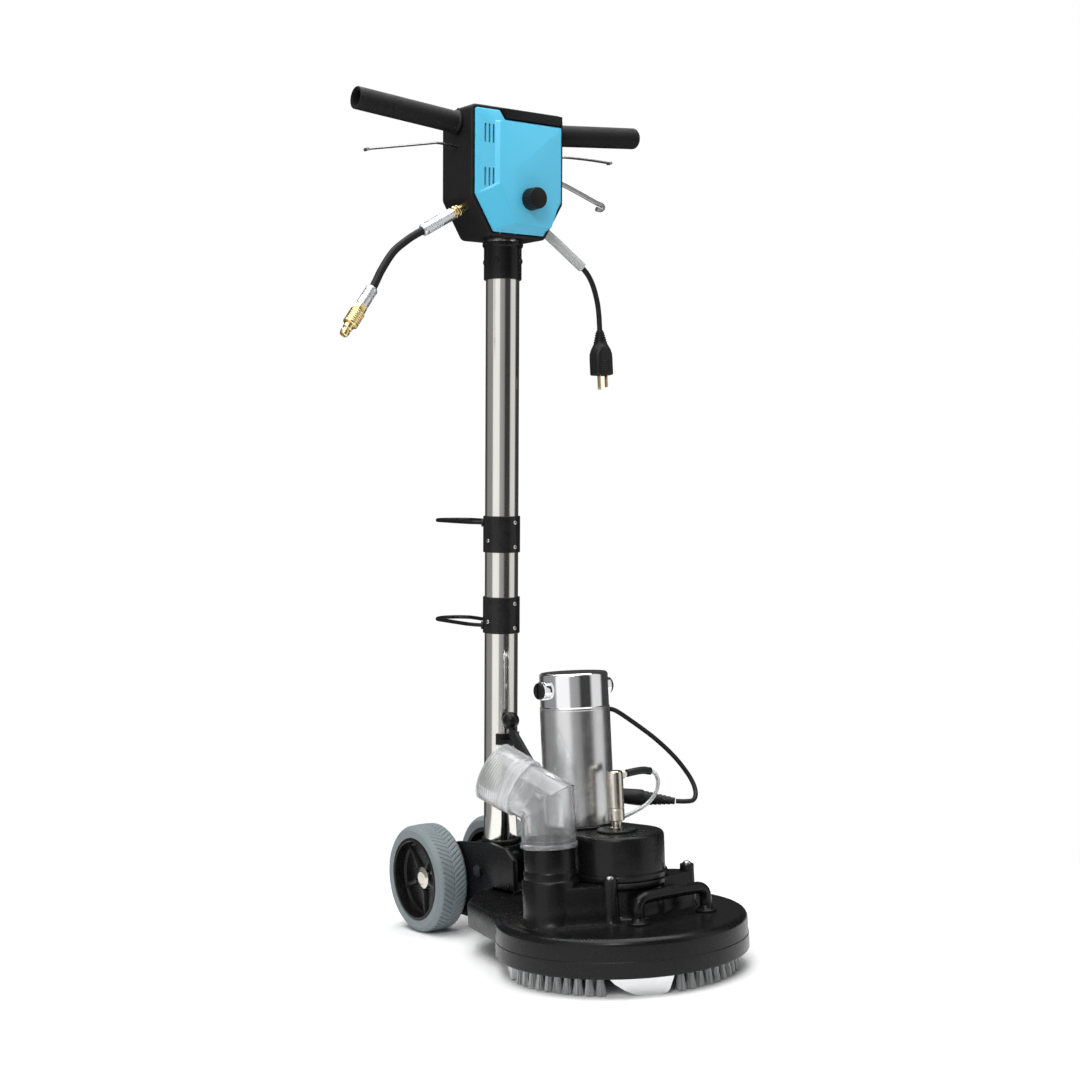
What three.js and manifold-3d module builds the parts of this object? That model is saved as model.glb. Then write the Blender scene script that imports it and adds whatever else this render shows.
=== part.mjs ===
// Rotary carpet cleaner: a round brush head at the front, two wheels behind it, and a tilting
// column that carries the handlebar, the control box and the two leads.
// Millimetres, +Z up, floor at z = 0, the head at -Y, the operator at +Y, axle along X.
import * as THREE from "three";
import { mergeVertices } from "three/addons/utils/BufferGeometryUtils.js";
import Module from "manifold-3d";

const wasm = await Module();
wasm.setup();

// Driving dimensions
const HEAD_Y = -147.5; // head axis, so that the whole object is centred on the origin
const GAP = 0.3;
const DECK = { r: 166, bottom: 24, top: 72, fillet: 9, wall: 6, plate: 6 };
const COVER = { r: 61.4, rearR: 52, bottom: 120.3, top: 177.7, wall: 4 };
const HOUSING = { r: 60, rearR: 50, top: 120, wall: 4 };
const POSTS = [
  { x: -50, y: -46 },
  { x: 85, y: -37 },
];
const POST = { r: 9.5, top: 128 };
const PORT = { x: -101, y: 12, r: 33, bore: 28, spigot: 30.3, top: 169 };
const MOTOR = { y: 82, r: 47.5, bottom: 181.3, shoulder: 338, top: 384 };
const SHAFT_R = 6;
const SPINDLE = { r: 12, stub: 4 };
const BELT = { bigR: 44, smallR: 13, thick: 3, bottom: 140, top: 156 };
const BRUSH = { r: 157, plateR: 150, plateZ0: 34, plateZ1: 42, ringZ0: 28 };
const SHOES = { count: 4, start: THREE.MathUtils.degToRad(241.5), halfAngle: 12 };
const AXLE = { y: 383, z: 78, r: 8 };
const WHEEL = { r: 78, width: 49, outer: 88, rimR: 60, rib: 5 };
const PIVOT = { y: 283, z: 95, r: 6 };
const LEAN = THREE.MathUtils.degToRad(4.84);
const CHEEK = { in: 28, out: 36 };
const TUBE = { r: 24, wall: 2, bottom: -8, top: 925 };
const BOX = { top: 1081.5, bottom: 903, shoulder: 955.5, half: 77.5, foot: 46, front: -38, back: 40, wall: 4 };
const BAR = { s: 1053.5, half: 236, rise: 5, r: 12.7, gripR: 15.5, gripIn: 80 };
const LEVER = { x: -8, y: 149, z: 215, knobY: 227, knobZ: 312 };
const HOOK = { upper: 459, lower: 343, height: 52, reach: 150, half: 30, rod: 2.8 };
const PLUG = { x: 157.5, y: 195, top: 873, bottom: 807 };

const material = (color, roughness, metalness) =>
  new THREE.MeshStandardMaterial({ color, roughness, metalness });
const BLACK = material(0x1b1c1d, 0.5, 0.0);
const SATIN_BLACK = material(0x151617, 0.35, 0.1);
const RUBBER = material(0x202020, 0.85, 0.0);
const TYRE = material(0x7f8f92, 0.8, 0.0);
const BLUE = material(0x45b6e8, 0.4, 0.0);
const CHROME = material(0xd8d8d8, 0.08, 1.0);
const STEEL = material(0xa9abac, 0.3, 1.0);
const BRASS = material(0xc79a3e, 0.3, 1.0);
const CLEAR = material(0xe4e8ea, 0.2, 0.0);
const BRISTLE = material(0x9a9da0, 0.7, 0.0);
const WHITE = material(0xdfe0dc, 0.6, 0.0);
const BOARD = material(0x2c6b3a, 0.6, 0.0);

// Solids: every geometry is turned into a closed solid before it is cut or joined.
function solid(geometry) {
  const bare = geometry.index ? geometry.toNonIndexed() : geometry.clone();
  bare.deleteAttribute("normal");
  bare.deleteAttribute("uv");
  const merged = mergeVertices(bare, 1e-4);
  const index = merged.index.array;
  const kept = [];
  for (let i = 0; i < index.length; i += 3) {
    const [a, b, c] = [index[i], index[i + 1], index[i + 2]];
    if (a !== b && b !== c && c !== a) kept.push(a, b, c);
  }
  const build = (triVerts) =>
    new wasm.Manifold(
      new wasm.Mesh({ numProp: 3, vertProperties: merged.attributes.position.array, triVerts }),
    );
  const made = build(new Uint32Array(kept));
  if (made.volume() >= 0) return made;
  for (let i = 0; i < kept.length; i += 3) [kept[i + 1], kept[i + 2]] = [kept[i + 2], kept[i + 1]];
  return build(new Uint32Array(kept));
}

function geometryOf(made) {
  const data = made.getMesh();
  const geometry = new THREE.BufferGeometry();
  geometry.setAttribute("position", new THREE.BufferAttribute(Float32Array.from(data.vertProperties), 3));
  geometry.setIndex(new THREE.BufferAttribute(Uint32Array.from(data.triVerts), 1));
  const flat = geometry.toNonIndexed();
  flat.computeVertexNormals();
  return flat;
}

const vec = (x, y, z) => new THREE.Vector3(x, y, z);
const join = (...parts) => parts.reduce((a, b) => a.add(b));
const cut = (body, ...tools) => tools.reduce((a, b) => a.subtract(b), body);

function block(x0, x1, y0, y1, z0, z1) {
  const geometry = new THREE.BoxGeometry(x1 - x0, y1 - y0, z1 - z0);
  geometry.translate((x0 + x1) / 2, (y0 + y1) / 2, (z0 + z1) / 2);
  return solid(geometry);
}

function rod(a, b, radius, sides = 16, endRadius = radius) {
  const length = a.distanceTo(b);
  const geometry = new THREE.CylinderGeometry(endRadius, radius, length, sides);
  const turn = new THREE.Quaternion().setFromUnitVectors(vec(0, 1, 0), b.clone().sub(a).normalize());
  geometry.applyQuaternion(turn);
  const middle = a.clone().add(b).multiplyScalar(0.5);
  geometry.translate(middle.x, middle.y, middle.z);
  return solid(geometry);
}

const upright = (x, y, z0, z1, radius, sides = 20) => rod(vec(x, y, z0), vec(x, y, z1), radius, sides);

// A profile of [radius, height] pairs turned about a vertical axis at (x, y).
function turned(profile, sides = 32, x = 0, y = 0) {
  const geometry = new THREE.LatheGeometry(profile.map(([r, h]) => new THREE.Vector2(r, h)), sides);
  geometry.rotateX(Math.PI / 2);
  geometry.translate(x, y, 0);
  return solid(geometry);
}

// The same profile turned about a line along X, through (y, z).
function turnedAcross(profile, sides, y, z) {
  const geometry = new THREE.LatheGeometry(profile.map(([r, h]) => new THREE.Vector2(r, h)), sides);
  geometry.rotateZ(-Math.PI / 2);
  geometry.translate(0, y, z);
  return solid(geometry);
}

function prism(points, z0, z1, bevel = 0) {
  const shape = new THREE.Shape(points.map(([x, y]) => new THREE.Vector2(x, y)));
  const geometry = new THREE.ExtrudeGeometry(shape, {
    depth: z1 - z0 - 2 * bevel,
    bevelEnabled: bevel > 0,
    bevelThickness: bevel,
    bevelSize: bevel,
    bevelOffset: -bevel,
    bevelSegments: 1,
    steps: 1,
  });
  geometry.translate(0, 0, z0 + bevel);
  return solid(geometry);
}

// A prism whose outline is given in the (x, height) plane and which runs from y0 to y1.
function panel(points, y0, y1) {
  const shape = new THREE.Shape(points.map(([x, s]) => new THREE.Vector2(x, s)));
  const geometry = new THREE.ExtrudeGeometry(shape, { depth: y1 - y0, bevelEnabled: false });
  geometry.rotateX(Math.PI / 2);
  geometry.translate(0, y1, 0);
  return solid(geometry);
}

// A prism whose outline is given in the (y, height) plane and which runs from x0 to x1.
function cheek(points, x0, x1) {
  const shape = new THREE.Shape(points.map(([y, z]) => new THREE.Vector2(y, z)));
  const geometry = new THREE.ExtrudeGeometry(shape, { depth: x1 - x0, bevelEnabled: false });
  geometry.rotateX(Math.PI / 2);
  geometry.rotateZ(Math.PI / 2);
  geometry.translate(x0, 0, 0);
  return solid(geometry);
}

// A round bar along a smooth line through the points.
function sweep(points, radius, sides, steps, tension = 0.5) {
  const path = new THREE.CatmullRomCurve3(points, false, "catmullrom", tension);
  const corners = [];
  for (let i = 0; i < sides; i++) {
    const angle = (i / sides) * Math.PI * 2;
    corners.push(new THREE.Vector2(Math.cos(angle) * radius, Math.sin(angle) * radius));
  }
  const geometry = new THREE.ExtrudeGeometry(new THREE.Shape(corners), {
    steps,
    extrudePath: path,
    bevelEnabled: false,
  });
  return solid(geometry);
}

// The outline round two circles on the same x, used for the belt cover and its housing.
function racetrack(frontR, rearR, rearY, count = 9) {
  const points = [];
  const tilt = Math.asin((frontR - rearR) / rearY);
  for (let i = 0; i <= count; i++) {
    const a = Math.PI - tilt + (i / count) * (Math.PI + 2 * tilt);
    points.push([Math.cos(a) * frontR, Math.sin(a) * frontR]);
  }
  for (let i = 0; i <= count; i++) {
    const a = tilt + (i / count) * (Math.PI - 2 * tilt);
    points.push([Math.cos(a) * rearR, rearY + Math.sin(a) * rearR]);
  }
  return points;
}

function sector(r0, r1, from, to, z0, z1) {
  const points = [];
  const count = 8;
  for (let i = 0; i <= count; i++) {
    const a = from + ((to - from) * i) / count;
    points.push([Math.cos(a) * r1, Math.sin(a) * r1]);
  }
  for (let i = count; i >= 0; i--) {
    const a = from + ((to - from) * i) / count;
    points.push([Math.cos(a) * r0, Math.sin(a) * r0]);
  }
  return prism(points, z0, z1);
}

// Scene graph
const root = new THREE.Group();
root.name = "carpet_cleaner";
const machine = new THREE.Group();
machine.position.y = HEAD_Y;
root.add(machine);
const column = new THREE.Group();
column.position.set(0, PIVOT.y, PIVOT.z);
column.rotation.x = LEAN;
machine.add(column);

function piece(parent, name, body, look) {
  const mesh = new THREE.Mesh(geometryOf(body), look);
  mesh.name = name;
  parent.add(mesh);
  return mesh;
}

// Deck: round skirt with a rear tongue
const TONGUE = [
  [-134, 60],
  [-134, 92],
  [-105, 210],
  [-60, 262],
  [60, 262],
  [105, 210],
  [134, 92],
  [134, 60],
].reverse();
const TONGUE_INSIDE = [
  [-120, 60],
  [-124, 95],
  [-99, 206],
  [-57, 256],
  [57, 256],
  [99, 206],
  [124, 95],
  [120, 60],
].reverse();
const skirt = turned(
  [
    [0, DECK.bottom],
    [DECK.r, DECK.bottom],
    [DECK.r, DECK.top - DECK.fillet],
    [DECK.r - 1.5, DECK.top - 4],
    [DECK.r - 4.5, DECK.top - 1.2],
    [DECK.r - DECK.fillet, DECK.top],
    [0, DECK.top],
  ],
  40,
);
const skirtInside = turned(
  [
    [0, DECK.bottom - 1],
    [DECK.r - DECK.wall, DECK.bottom - 1],
    [DECK.r - DECK.wall, DECK.top - DECK.plate],
    [0, DECK.top - DECK.plate],
  ],
  40,
);
const tongue = cut(prism(TONGUE, 38, DECK.top, 0), prism(TONGUE_INSIDE, 37, DECK.top - DECK.plate, 0));
const deck = cut(
  join(skirt, tongue),
  skirtInside,
  upright(0, 0, 60, 80, 24.3, 32),
  upright(PORT.x, PORT.y, 60, 80, PORT.bore, 24),
);
piece(machine, "deck_housing", deck, BLACK);

const spindleBearing = turned(
  [
    [SPINDLE.r + GAP, 66],
    [24, 66],
    [24, 71.7],
    [SPINDLE.r + GAP, 71.7],
    [SPINDLE.r + GAP, 66],
  ],
  24,
);
piece(machine, "spindle_bearing", spindleBearing, STEEL);

// Upper housing with the screw posts and the suction port
const BRIDGE = [
  [-127, -14],
  [-53, -50],
  [-40, -45],
  [0, 0],
  [-40, 60],
  [-101, 49],
];
const EAR = [
  [20, -56],
  [83, -47],
  [95, -40],
  [95, -33],
  [88, -27],
  [50, 20],
];
const portTower = turned(
  [
    [0, DECK.top + GAP],
    [37, DECK.top + GAP],
    [37, 128],
    [34.5, 131],
    [34.5, 139],
    [PORT.r, 140],
    [PORT.r, PORT.top],
    [PORT.spigot, PORT.top],
    [PORT.spigot, 180],
    [0, 180],
  ],
  24,
  PORT.x,
  PORT.y,
);
const upperHousing = cut(
  join(
    prism(racetrack(HOUSING.r, HOUSING.rearR, MOTOR.y), DECK.top + GAP, HOUSING.top),
    prism(BRIDGE, DECK.top + GAP, HOUSING.top),
    prism(EAR, DECK.top + GAP, HOUSING.top),
    ...POSTS.map(({ x, y }) => upright(x, y, DECK.top + GAP, POST.top, POST.r, 16)),
    portTower,
  ),
  prism(racetrack(HOUSING.r - HOUSING.wall, HOUSING.rearR - HOUSING.wall, MOTOR.y), 71, HOUSING.top - 5),
  upright(PORT.x, PORT.y, 60, 200, PORT.bore, 24),
  upright(0, 0, 100, 130, SPINDLE.r + 3, 24),
  upright(0, 0, HOUSING.top, 160, COVER.r + 1, 36),
);
piece(machine, "upper_housing", upperHousing, BLACK);

// Belt cover: drum round the spindle, drawn back under the motor, with the lever clevis behind it
const leverClevis = join(
  block(LEVER.x - 10, LEVER.x + 10, 130, 144, COVER.top - 30, COVER.top - 6),
  block(LEVER.x - 10, LEVER.x - 3.5, 134, 156, COVER.top - 30, 224),
  block(LEVER.x + 3.5, LEVER.x + 10, 134, 156, COVER.top - 30, 224),
  rod(vec(LEVER.x - 12, LEVER.y, LEVER.z), vec(LEVER.x + 12, LEVER.y, LEVER.z), 4, 12),
);
const beltCover = cut(
  join(
    prism(racetrack(COVER.r, COVER.rearR, MOTOR.y), COVER.bottom, COVER.top, 2.5),
    upright(0, MOTOR.y, COVER.top - 1, COVER.top + 3.3, 49, 40),
    upright(20, 24, COVER.top - 1, COVER.top + 9, 3.2, 12),
    upright(0, 0, COVER.top - 1, COVER.top + 3, 27, 32),
    leverClevis,
  ),
  prism(racetrack(COVER.r - 4, COVER.rearR - 4, MOTOR.y), COVER.bottom - 1, COVER.top - 4),
  upright(0, 0, 150, 200, SPINDLE.stub + 2, 24),
  upright(0, MOTOR.y, 150, 200, SHAFT_R + 3, 24),
);
piece(machine, "belt_cover", beltCover, BLACK);

// Belt drive
const beltOuter = racetrack(BELT.bigR + 1.3 + BELT.thick, BELT.smallR + 1.3 + BELT.thick, MOTOR.y, 14);
const beltInner = racetrack(BELT.bigR + 1.3, BELT.smallR + 1.3, MOTOR.y, 14);
piece(
  machine,
  "drive_belt",
  cut(prism(beltOuter, BELT.bottom, BELT.top), prism(beltInner, BELT.bottom - 1, BELT.top + 1)),
  RUBBER,
);
const largePulley = turned(
  [
    [SPINDLE.r + GAP, BELT.bottom - 8],
    [20, BELT.bottom - 8],
    [20, BELT.bottom + 1],
    [BELT.bigR, BELT.bottom + 1],
    [BELT.bigR, BELT.top - 1],
    [20, BELT.top - 1],
    [20, BELT.top + 4],
    [SPINDLE.r + GAP, BELT.top + 4],
    [SPINDLE.r + GAP, BELT.bottom - 8],
  ],
  28,
);
piece(machine, "large_pulley", largePulley, STEEL);
// Motor
const motorShell = turned(
  [
    [0, MOTOR.bottom],
    [MOTOR.r, MOTOR.bottom],
    [MOTOR.r, MOTOR.shoulder],
    [MOTOR.r - 4, MOTOR.shoulder],
    [MOTOR.r - 4, MOTOR.bottom + 6],
    [0, MOTOR.bottom + 6],
  ],
  24,
  0,
  MOTOR.y,
);
piece(
  machine,
  "motor_shell",
  cut(motorShell, upright(0, MOTOR.y, MOTOR.bottom - 1, MOTOR.bottom + 10, SHAFT_R + GAP, 20)),
  STEEL,
);
const armature = turned(
  [
    [0, BELT.bottom - 4],
    [SHAFT_R, BELT.bottom - 4],
    [SHAFT_R, BELT.bottom],
    [BELT.smallR, BELT.bottom],
    [BELT.smallR, BELT.top],
    [SHAFT_R, BELT.top],
    [SHAFT_R, 205],
    [32, 208],
    [32, 300],
    [18, 304],
    [18, 332],
    [SHAFT_R, 334],
    [SHAFT_R, 372],
    [0, 372],
  ],
  16,
  0,
  MOTOR.y,
);
piece(machine, "motor_armature", armature, STEEL);
const endCap = turned(
  [
    [0, MOTOR.shoulder + GAP],
    [46.5, MOTOR.shoulder + GAP],
    [46.5, MOTOR.top - 3],
    [44, MOTOR.top],
    [0, MOTOR.top],
  ],
  24,
  0,
  MOTOR.y,
);
const brushSocket = (side) =>
  rod(vec(side * 30, MOTOR.y, 362), vec(side * 55, MOTOR.y, 362), 12.5, 20);
const socketBore = (side) =>
  rod(vec(side * 44, MOTOR.y, 362), vec(side * 60, MOTOR.y, 362), 9.3, 16);
piece(
  machine,
  "motor_end_cap",
  cut(
    join(endCap, brushSocket(1), brushSocket(-1)),
    upright(0, MOTOR.y, MOTOR.shoulder - 5, 378, 35, 32),
    socketBore(1),
    socketBore(-1),
  ),
  CHROME,
);
for (const [side, name] of [
  [-1, "brush_cap_left"],
  [1, "brush_cap_right"],
]) {
  const cap = join(
    rod(vec(side * 44.5, MOTOR.y, 362), vec(side * 57, MOTOR.y, 362), 9, 16),
    rod(vec(side * 55.3, MOTOR.y, 362), vec(side * 60, MOTOR.y, 362), 11, 16),
  );
  piece(machine, name, cap, BLACK);
}

// Water swivel on the head axis
const swivel = join(
  turned(
    [
      [0, COVER.top + 3.3],
      [7, COVER.top + 3.3],
      [7, 191],
      [11, 192],
      [11, 255],
      [9.5, 256.5],
      [0, 256.5],
    ],
    24,
  ),
  rod(vec(6, 0, 250), vec(19, -1, 251), 4.2, 12),
);
piece(
  machine,
  "water_swivel",
  cut(swivel, upright(0, 0, 170, 205, SPINDLE.stub + GAP, 16)),
  STEEL,
);

// Water line and motor lead. Both stay on the deck side of the tilt joint.
const SLEEVE_PATH = [vec(19.4, -1, 251), vec(30, -2, 252), vec(45, -3, 252.5), vec(56, -4, 250.5)];
piece(machine, "tube_sleeve", sweep(SLEEVE_PATH, 5, 10, 8), RUBBER);
const WATER_PATH = [
  vec(57.2, -4, 250.1),
  vec(66, -4, 245),
  vec(72.5, 0, 232),
  vec(71, 6, 217),
  vec(61, 13, 204),
  vec(45, 19, 195.5),
  vec(31, 23, 190.5),
  vec(20, 24, 188.5),
  vec(9, 24, 188.6),
];
const waterTube = sweep(WATER_PATH.slice(0, 8), 2.6, 8, 26);
piece(machine, "water_tube", waterTube.subtract(upright(20, 24, 170, 187, 4, 12)), CLEAR);

const CONNECTOR = [vec(52, 60, 213), vec(110, 12, 203)];
const connector = join(
  rod(CONNECTOR[0], CONNECTOR[0].clone().lerp(CONNECTOR[1], 0.45), 10, 16, 11),
  rod(CONNECTOR[0].clone().lerp(CONNECTOR[1], 0.44), CONNECTOR[1], 9.5, 16, 5),
);
piece(
  machine,
  "cable_connector",
  connector.subtract(upright(0, MOTOR.y, 170, 300, MOTOR.r + GAP, 40)),
  BLACK,
);
const CABLE_PATH = [
  vec(47.4, 71, 331),
  vec(58, 66, 327),
  vec(78, 54, 310),
  vec(105, 40, 285),
  vec(128, 28, 258),
  vec(142, 16, 231),
  vec(142, 6, 213),
  vec(132, -1, 203.5),
  vec(122, 3, 202),
  vec(112, 10.4, 202.6),
];
piece(
  machine,
  "motor_cable",
  sweep(CABLE_PATH, 3.2, 8, 26).subtract(upright(0, MOTOR.y, 170, 350, MOTOR.r + GAP, 40)),
  RUBBER,
);

// Lift handle
const liftPath = [
  vec(-31, -77, DECK.top + 2),
  vec(-31, -77, 88),
  vec(-30, -77, 96),
  vec(-24, -77, 102.5),
  vec(-16, -77, 104),
  vec(66, -77, 104),
  vec(74, -77, 102.5),
  vec(80, -77, 96),
  vec(81, -77, 88),
  vec(81, -77, DECK.top + 2),
];
const flange = (x) => upright(x, -77, DECK.top + GAP, DECK.top + 3.5, 14, 16);
piece(machine, "lift_handle", join(sweep(liftPath, 7.8, 8, 20), flange(-31), flange(81)), SATIN_BLACK);

// Rear yoke, axle and tilt pivot
const CHEEK_OUTLINE = [
  [196, 72.3],
  [250, 72.3],
  [262.6, 72.3],
  [262.6, 25],
  [388, 25],
  [402, 45],
  [404, 82],
  [396, 112],
  [345, 131],
  [258, 138],
  [215, 134],
  [196, 120],
];
const yoke = cut(
  join(
    cheek(CHEEK_OUTLINE, CHEEK.in, CHEEK.out),
    cheek(CHEEK_OUTLINE, -CHEEK.out, -CHEEK.in),
    block(-CHEEK.out, CHEEK.out, 196, 250, DECK.top + GAP, DECK.top + 6),
    block(-CHEEK.in - 1, CHEEK.in + 1, 340, 346, 25, 60),
  ),
  rod(vec(-50, PIVOT.y, PIVOT.z), vec(50, PIVOT.y, PIVOT.z), PIVOT.r + GAP, 20),
  rod(vec(-50, AXLE.y, AXLE.z), vec(50, AXLE.y, AXLE.z), AXLE.r + GAP, 20),
);
piece(machine, "rear_yoke", yoke, SATIN_BLACK);
piece(
  machine,
  "pivot_pin",
  join(
    rod(vec(-37, PIVOT.y, PIVOT.z), vec(39, PIVOT.y, PIVOT.z), PIVOT.r, 20),
    rod(vec(36.3, PIVOT.y, PIVOT.z), vec(40.5, PIVOT.y, PIVOT.z), 9.5, 6),
  ),
  STEEL,
);
const AXLE_PROFILE = [
  [0, -75],
  [14, -75],
  [16, -73],
  [16, -69.3],
  [AXLE.r, -69.3],
  [AXLE.r, 69.3],
  [16, 69.3],
  [16, 73],
  [14, 75],
  [0, 75],
];
piece(machine, "wheel_axle", turnedAcross(AXLE_PROFILE, 20, AXLE.y, AXLE.z), CHROME);

// Wheels
const TYRE_PROFILE = [
  [WHEEL.rimR + GAP, -24],
  [66, -WHEEL.width / 2],
  [71, -WHEEL.width / 2],
  [76, -21],
  [WHEEL.r, -15],
  [WHEEL.r, 15],
  [76, 21],
  [71, WHEEL.width / 2],
  [66, WHEEL.width / 2],
  [WHEEL.rimR + GAP, 24],
  [WHEEL.rimR + GAP, -24],
];
const RIM_PROFILE = [
  [AXLE.r + GAP, -23],
  [16, -23],
  [20, -20],
  [20, 1],
  [54, 3],
  [54, -24],
  [WHEEL.rimR, -24],
  [WHEEL.rimR, 24],
  [54, 24],
  [54, 7],
  [18, 5],
  [18, 4.2],
  [AXLE.r + GAP, 4.2],
  [AXLE.r + GAP, -23],
];
for (const [side, word] of [
  [-1, "left"],
  [1, "right"],
]) {
  const wheel = new THREE.Group();
  wheel.position.set(side * (WHEEL.outer - WHEEL.width / 2), AXLE.y, AXLE.z);
  wheel.rotation.z = side < 0 ? Math.PI : 0;
  machine.add(wheel);
  piece(wheel, "tyre_" + word, turnedAcross(TYRE_PROFILE, 24, 0, 0), TYRE);
  let rim = turnedAcross(RIM_PROFILE, 24, 0, 0);
  for (let i = 0; i < WHEEL.rib; i++) {
    const rib = block(5, 18, -2.5, 2.5, 17.5, 55);
    rim = rim.add(rib.rotate([(i * 360) / WHEEL.rib, 0, 0]));
  }
  piece(wheel, "rim_" + word, rim.subtract(rod(vec(4.3, 0, 0), vec(30, 0, 0), 17, 24)), BLACK);
}

// Rotating head
const spindle = join(
  turned(
    [
      [0, 24],
      [20, 24],
      [20, 27.7],
      [SPINDLE.r, 27.7],
      [SPINDLE.r, 168],
      [SPINDLE.stub, 168],
      [SPINDLE.stub, 200],
      [0, 200],
    ],
    24,
  ),
);
piece(machine, "head_spindle", spindle, STEEL);
const slot = (i) => {
  const box = block(60, 148, -8, 8, 20, 50);
  return box.rotate([0, 0, THREE.MathUtils.radToDeg(SHOES.start) + (i * 360) / SHOES.count]);
};
const shoeRoom = (i) =>
  block(50, 165, -46, 46, -1, BRUSH.ringZ0).rotate([
    0,
    0,
    THREE.MathUtils.radToDeg(SHOES.start) + (i * 360) / SHOES.count,
  ]);
let brushPlate = turned(
  [
    [SPINDLE.r + GAP, BRUSH.ringZ0],
    [50, BRUSH.ringZ0],
    [50, BRUSH.plateZ0],
    [BRUSH.plateR, BRUSH.plateZ0],
    [BRUSH.plateR, BRUSH.plateZ1],
    [32, BRUSH.plateZ1],
    [28, 58],
    [SPINDLE.r + GAP, 58],
    [SPINDLE.r + GAP, BRUSH.ringZ0],
  ],
  28,
);
let brushRing = turned(
  [
    [56, BRUSH.ringZ0],
    [155, BRUSH.ringZ0],
    [155, BRUSH.plateZ0 - GAP],
    [56, BRUSH.plateZ0 - GAP],
    [56, BRUSH.ringZ0],
  ],
  28,
);
for (let i = 0; i < SHOES.count; i++) {
  brushPlate = brushPlate.subtract(slot(i));
  brushRing = brushRing.subtract(slot(i));
  const middle = SHOES.start + ((i + 0.5) * 2 * Math.PI) / SHOES.count;
  const half = Math.PI / SHOES.count - THREE.MathUtils.degToRad(SHOES.halfAngle);
  const tuft = sector(104, BRUSH.r - 1, middle - half, middle + half, 0, BRUSH.ringZ0 + 1);
  brushRing = brushRing.add(cut(tuft, shoeRoom(i), shoeRoom(i + 1)));
}
piece(machine, "brush_plate", brushPlate, BLACK);
piece(machine, "brush_ring", brushRing, BRISTLE);
const SHOE_OUTLINE = [
  [-43, 27.7],
  [-33, 4],
  [-18, 0],
  [2, 0],
  [20, 7],
  [34, 17],
  [44, 27.7],
];
for (let i = 0; i < SHOES.count; i++) {
  const outside = panel(SHOE_OUTLINE, 58, 150);
  const inside = panel(
    [
      [-24, 28.5],
      [-18, 8],
      [-14, -1],
      [-4, -1],
      [6, 10],
      [16, 28.5],
    ],
    64,
    148,
  );
  const turn = THREE.MathUtils.radToDeg(SHOES.start) - 90 + (i * 360) / SHOES.count;
  piece(machine, "vacuum_shoe_" + (i + 1), outside.subtract(inside).rotate([0, 0, turn]), STEEL);
}

// Clear suction elbow: it turns on the port
const ELBOW_DIR = vec(-0.4, 0.8, 0.436).normalize();
const ELBOW_BEND = vec(PORT.x, PORT.y, 226);
const alongCuff = (distance) => ELBOW_BEND.clone().addScaledVector(ELBOW_DIR, distance);
function elbowPath(from, to) {
  const up = vec(0, 0, 1);
  const bend = up.angleTo(ELBOW_DIR);
  const radius = 42;
  const back = radius * Math.tan(bend / 2);
  const start = ELBOW_BEND.clone().addScaledVector(up, -back);
  const side = ELBOW_DIR.clone().addScaledVector(up, -Math.cos(bend)).normalize();
  const centre = start.clone().addScaledVector(side, radius);
  const points = [vec(PORT.x, PORT.y, from), vec(PORT.x, PORT.y, (from + start.z) / 2)];
  for (let i = 0; i <= 6; i++) {
    const a = (i / 6) * bend;
    points.push(
      centre
        .clone()
        .addScaledVector(side, -Math.cos(a) * radius)
        .addScaledVector(up, Math.sin(a) * radius),
    );
  }
  points.push(alongCuff((back + to) / 2), alongCuff(to));
  return points;
}
const elbow = cut(
  join(
    sweep(elbowPath(PORT.top + GAP, 56), 35.8, 16, 8),
    upright(PORT.x, PORT.y, PORT.top + GAP, PORT.top + 5, 37.4, 16),
  ),
  sweep(elbowPath(PORT.top - 20, 80), 31.6, 16, 9),
);
piece(machine, "vacuum_elbow", elbow, CLEAR);
let cuff = rod(alongCuff(36), alongCuff(86), 38.2, 16);
for (let i = 0; i < 3; i++) {
  cuff = cuff.add(rod(alongCuff(57 + i * 10), alongCuff(62 + i * 10), 40, 16));
}
cuff = cut(
  cuff,
  rod(alongCuff(30), alongCuff(56.3), 36.9, 16),
  rod(alongCuff(50), alongCuff(95), 34.5, 16),
);
piece(machine, "vacuum_cuff", cuff, CLEAR);

// Tilt lock lever: it hangs on the cover's rear and hooks over the latch on the column
const LATCH_S = 196;
const lever = cut(
  join(
    cheek(
      [
        [142, 207],
        [153, 208],
        [222, 284],
        [232, 296],
        [224, 302],
        [212, 292],
        [142, 221],
      ],
      LEVER.x - 3,
      LEVER.x + 3,
    ),
    rod(vec(LEVER.x, 224, 294), vec(LEVER.x, LEVER.knobY, LEVER.knobZ - 6), 4, 12),
    solid(new THREE.SphereGeometry(12, 12, 8).translate(LEVER.x, LEVER.knobY, LEVER.knobZ)),
  ),
  rod(vec(LEVER.x - 9, LEVER.y, LEVER.z), vec(LEVER.x + 9, LEVER.y, LEVER.z), 4.3, 12),
);
piece(machine, "lock_lever", lever, SATIN_BLACK);
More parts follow.
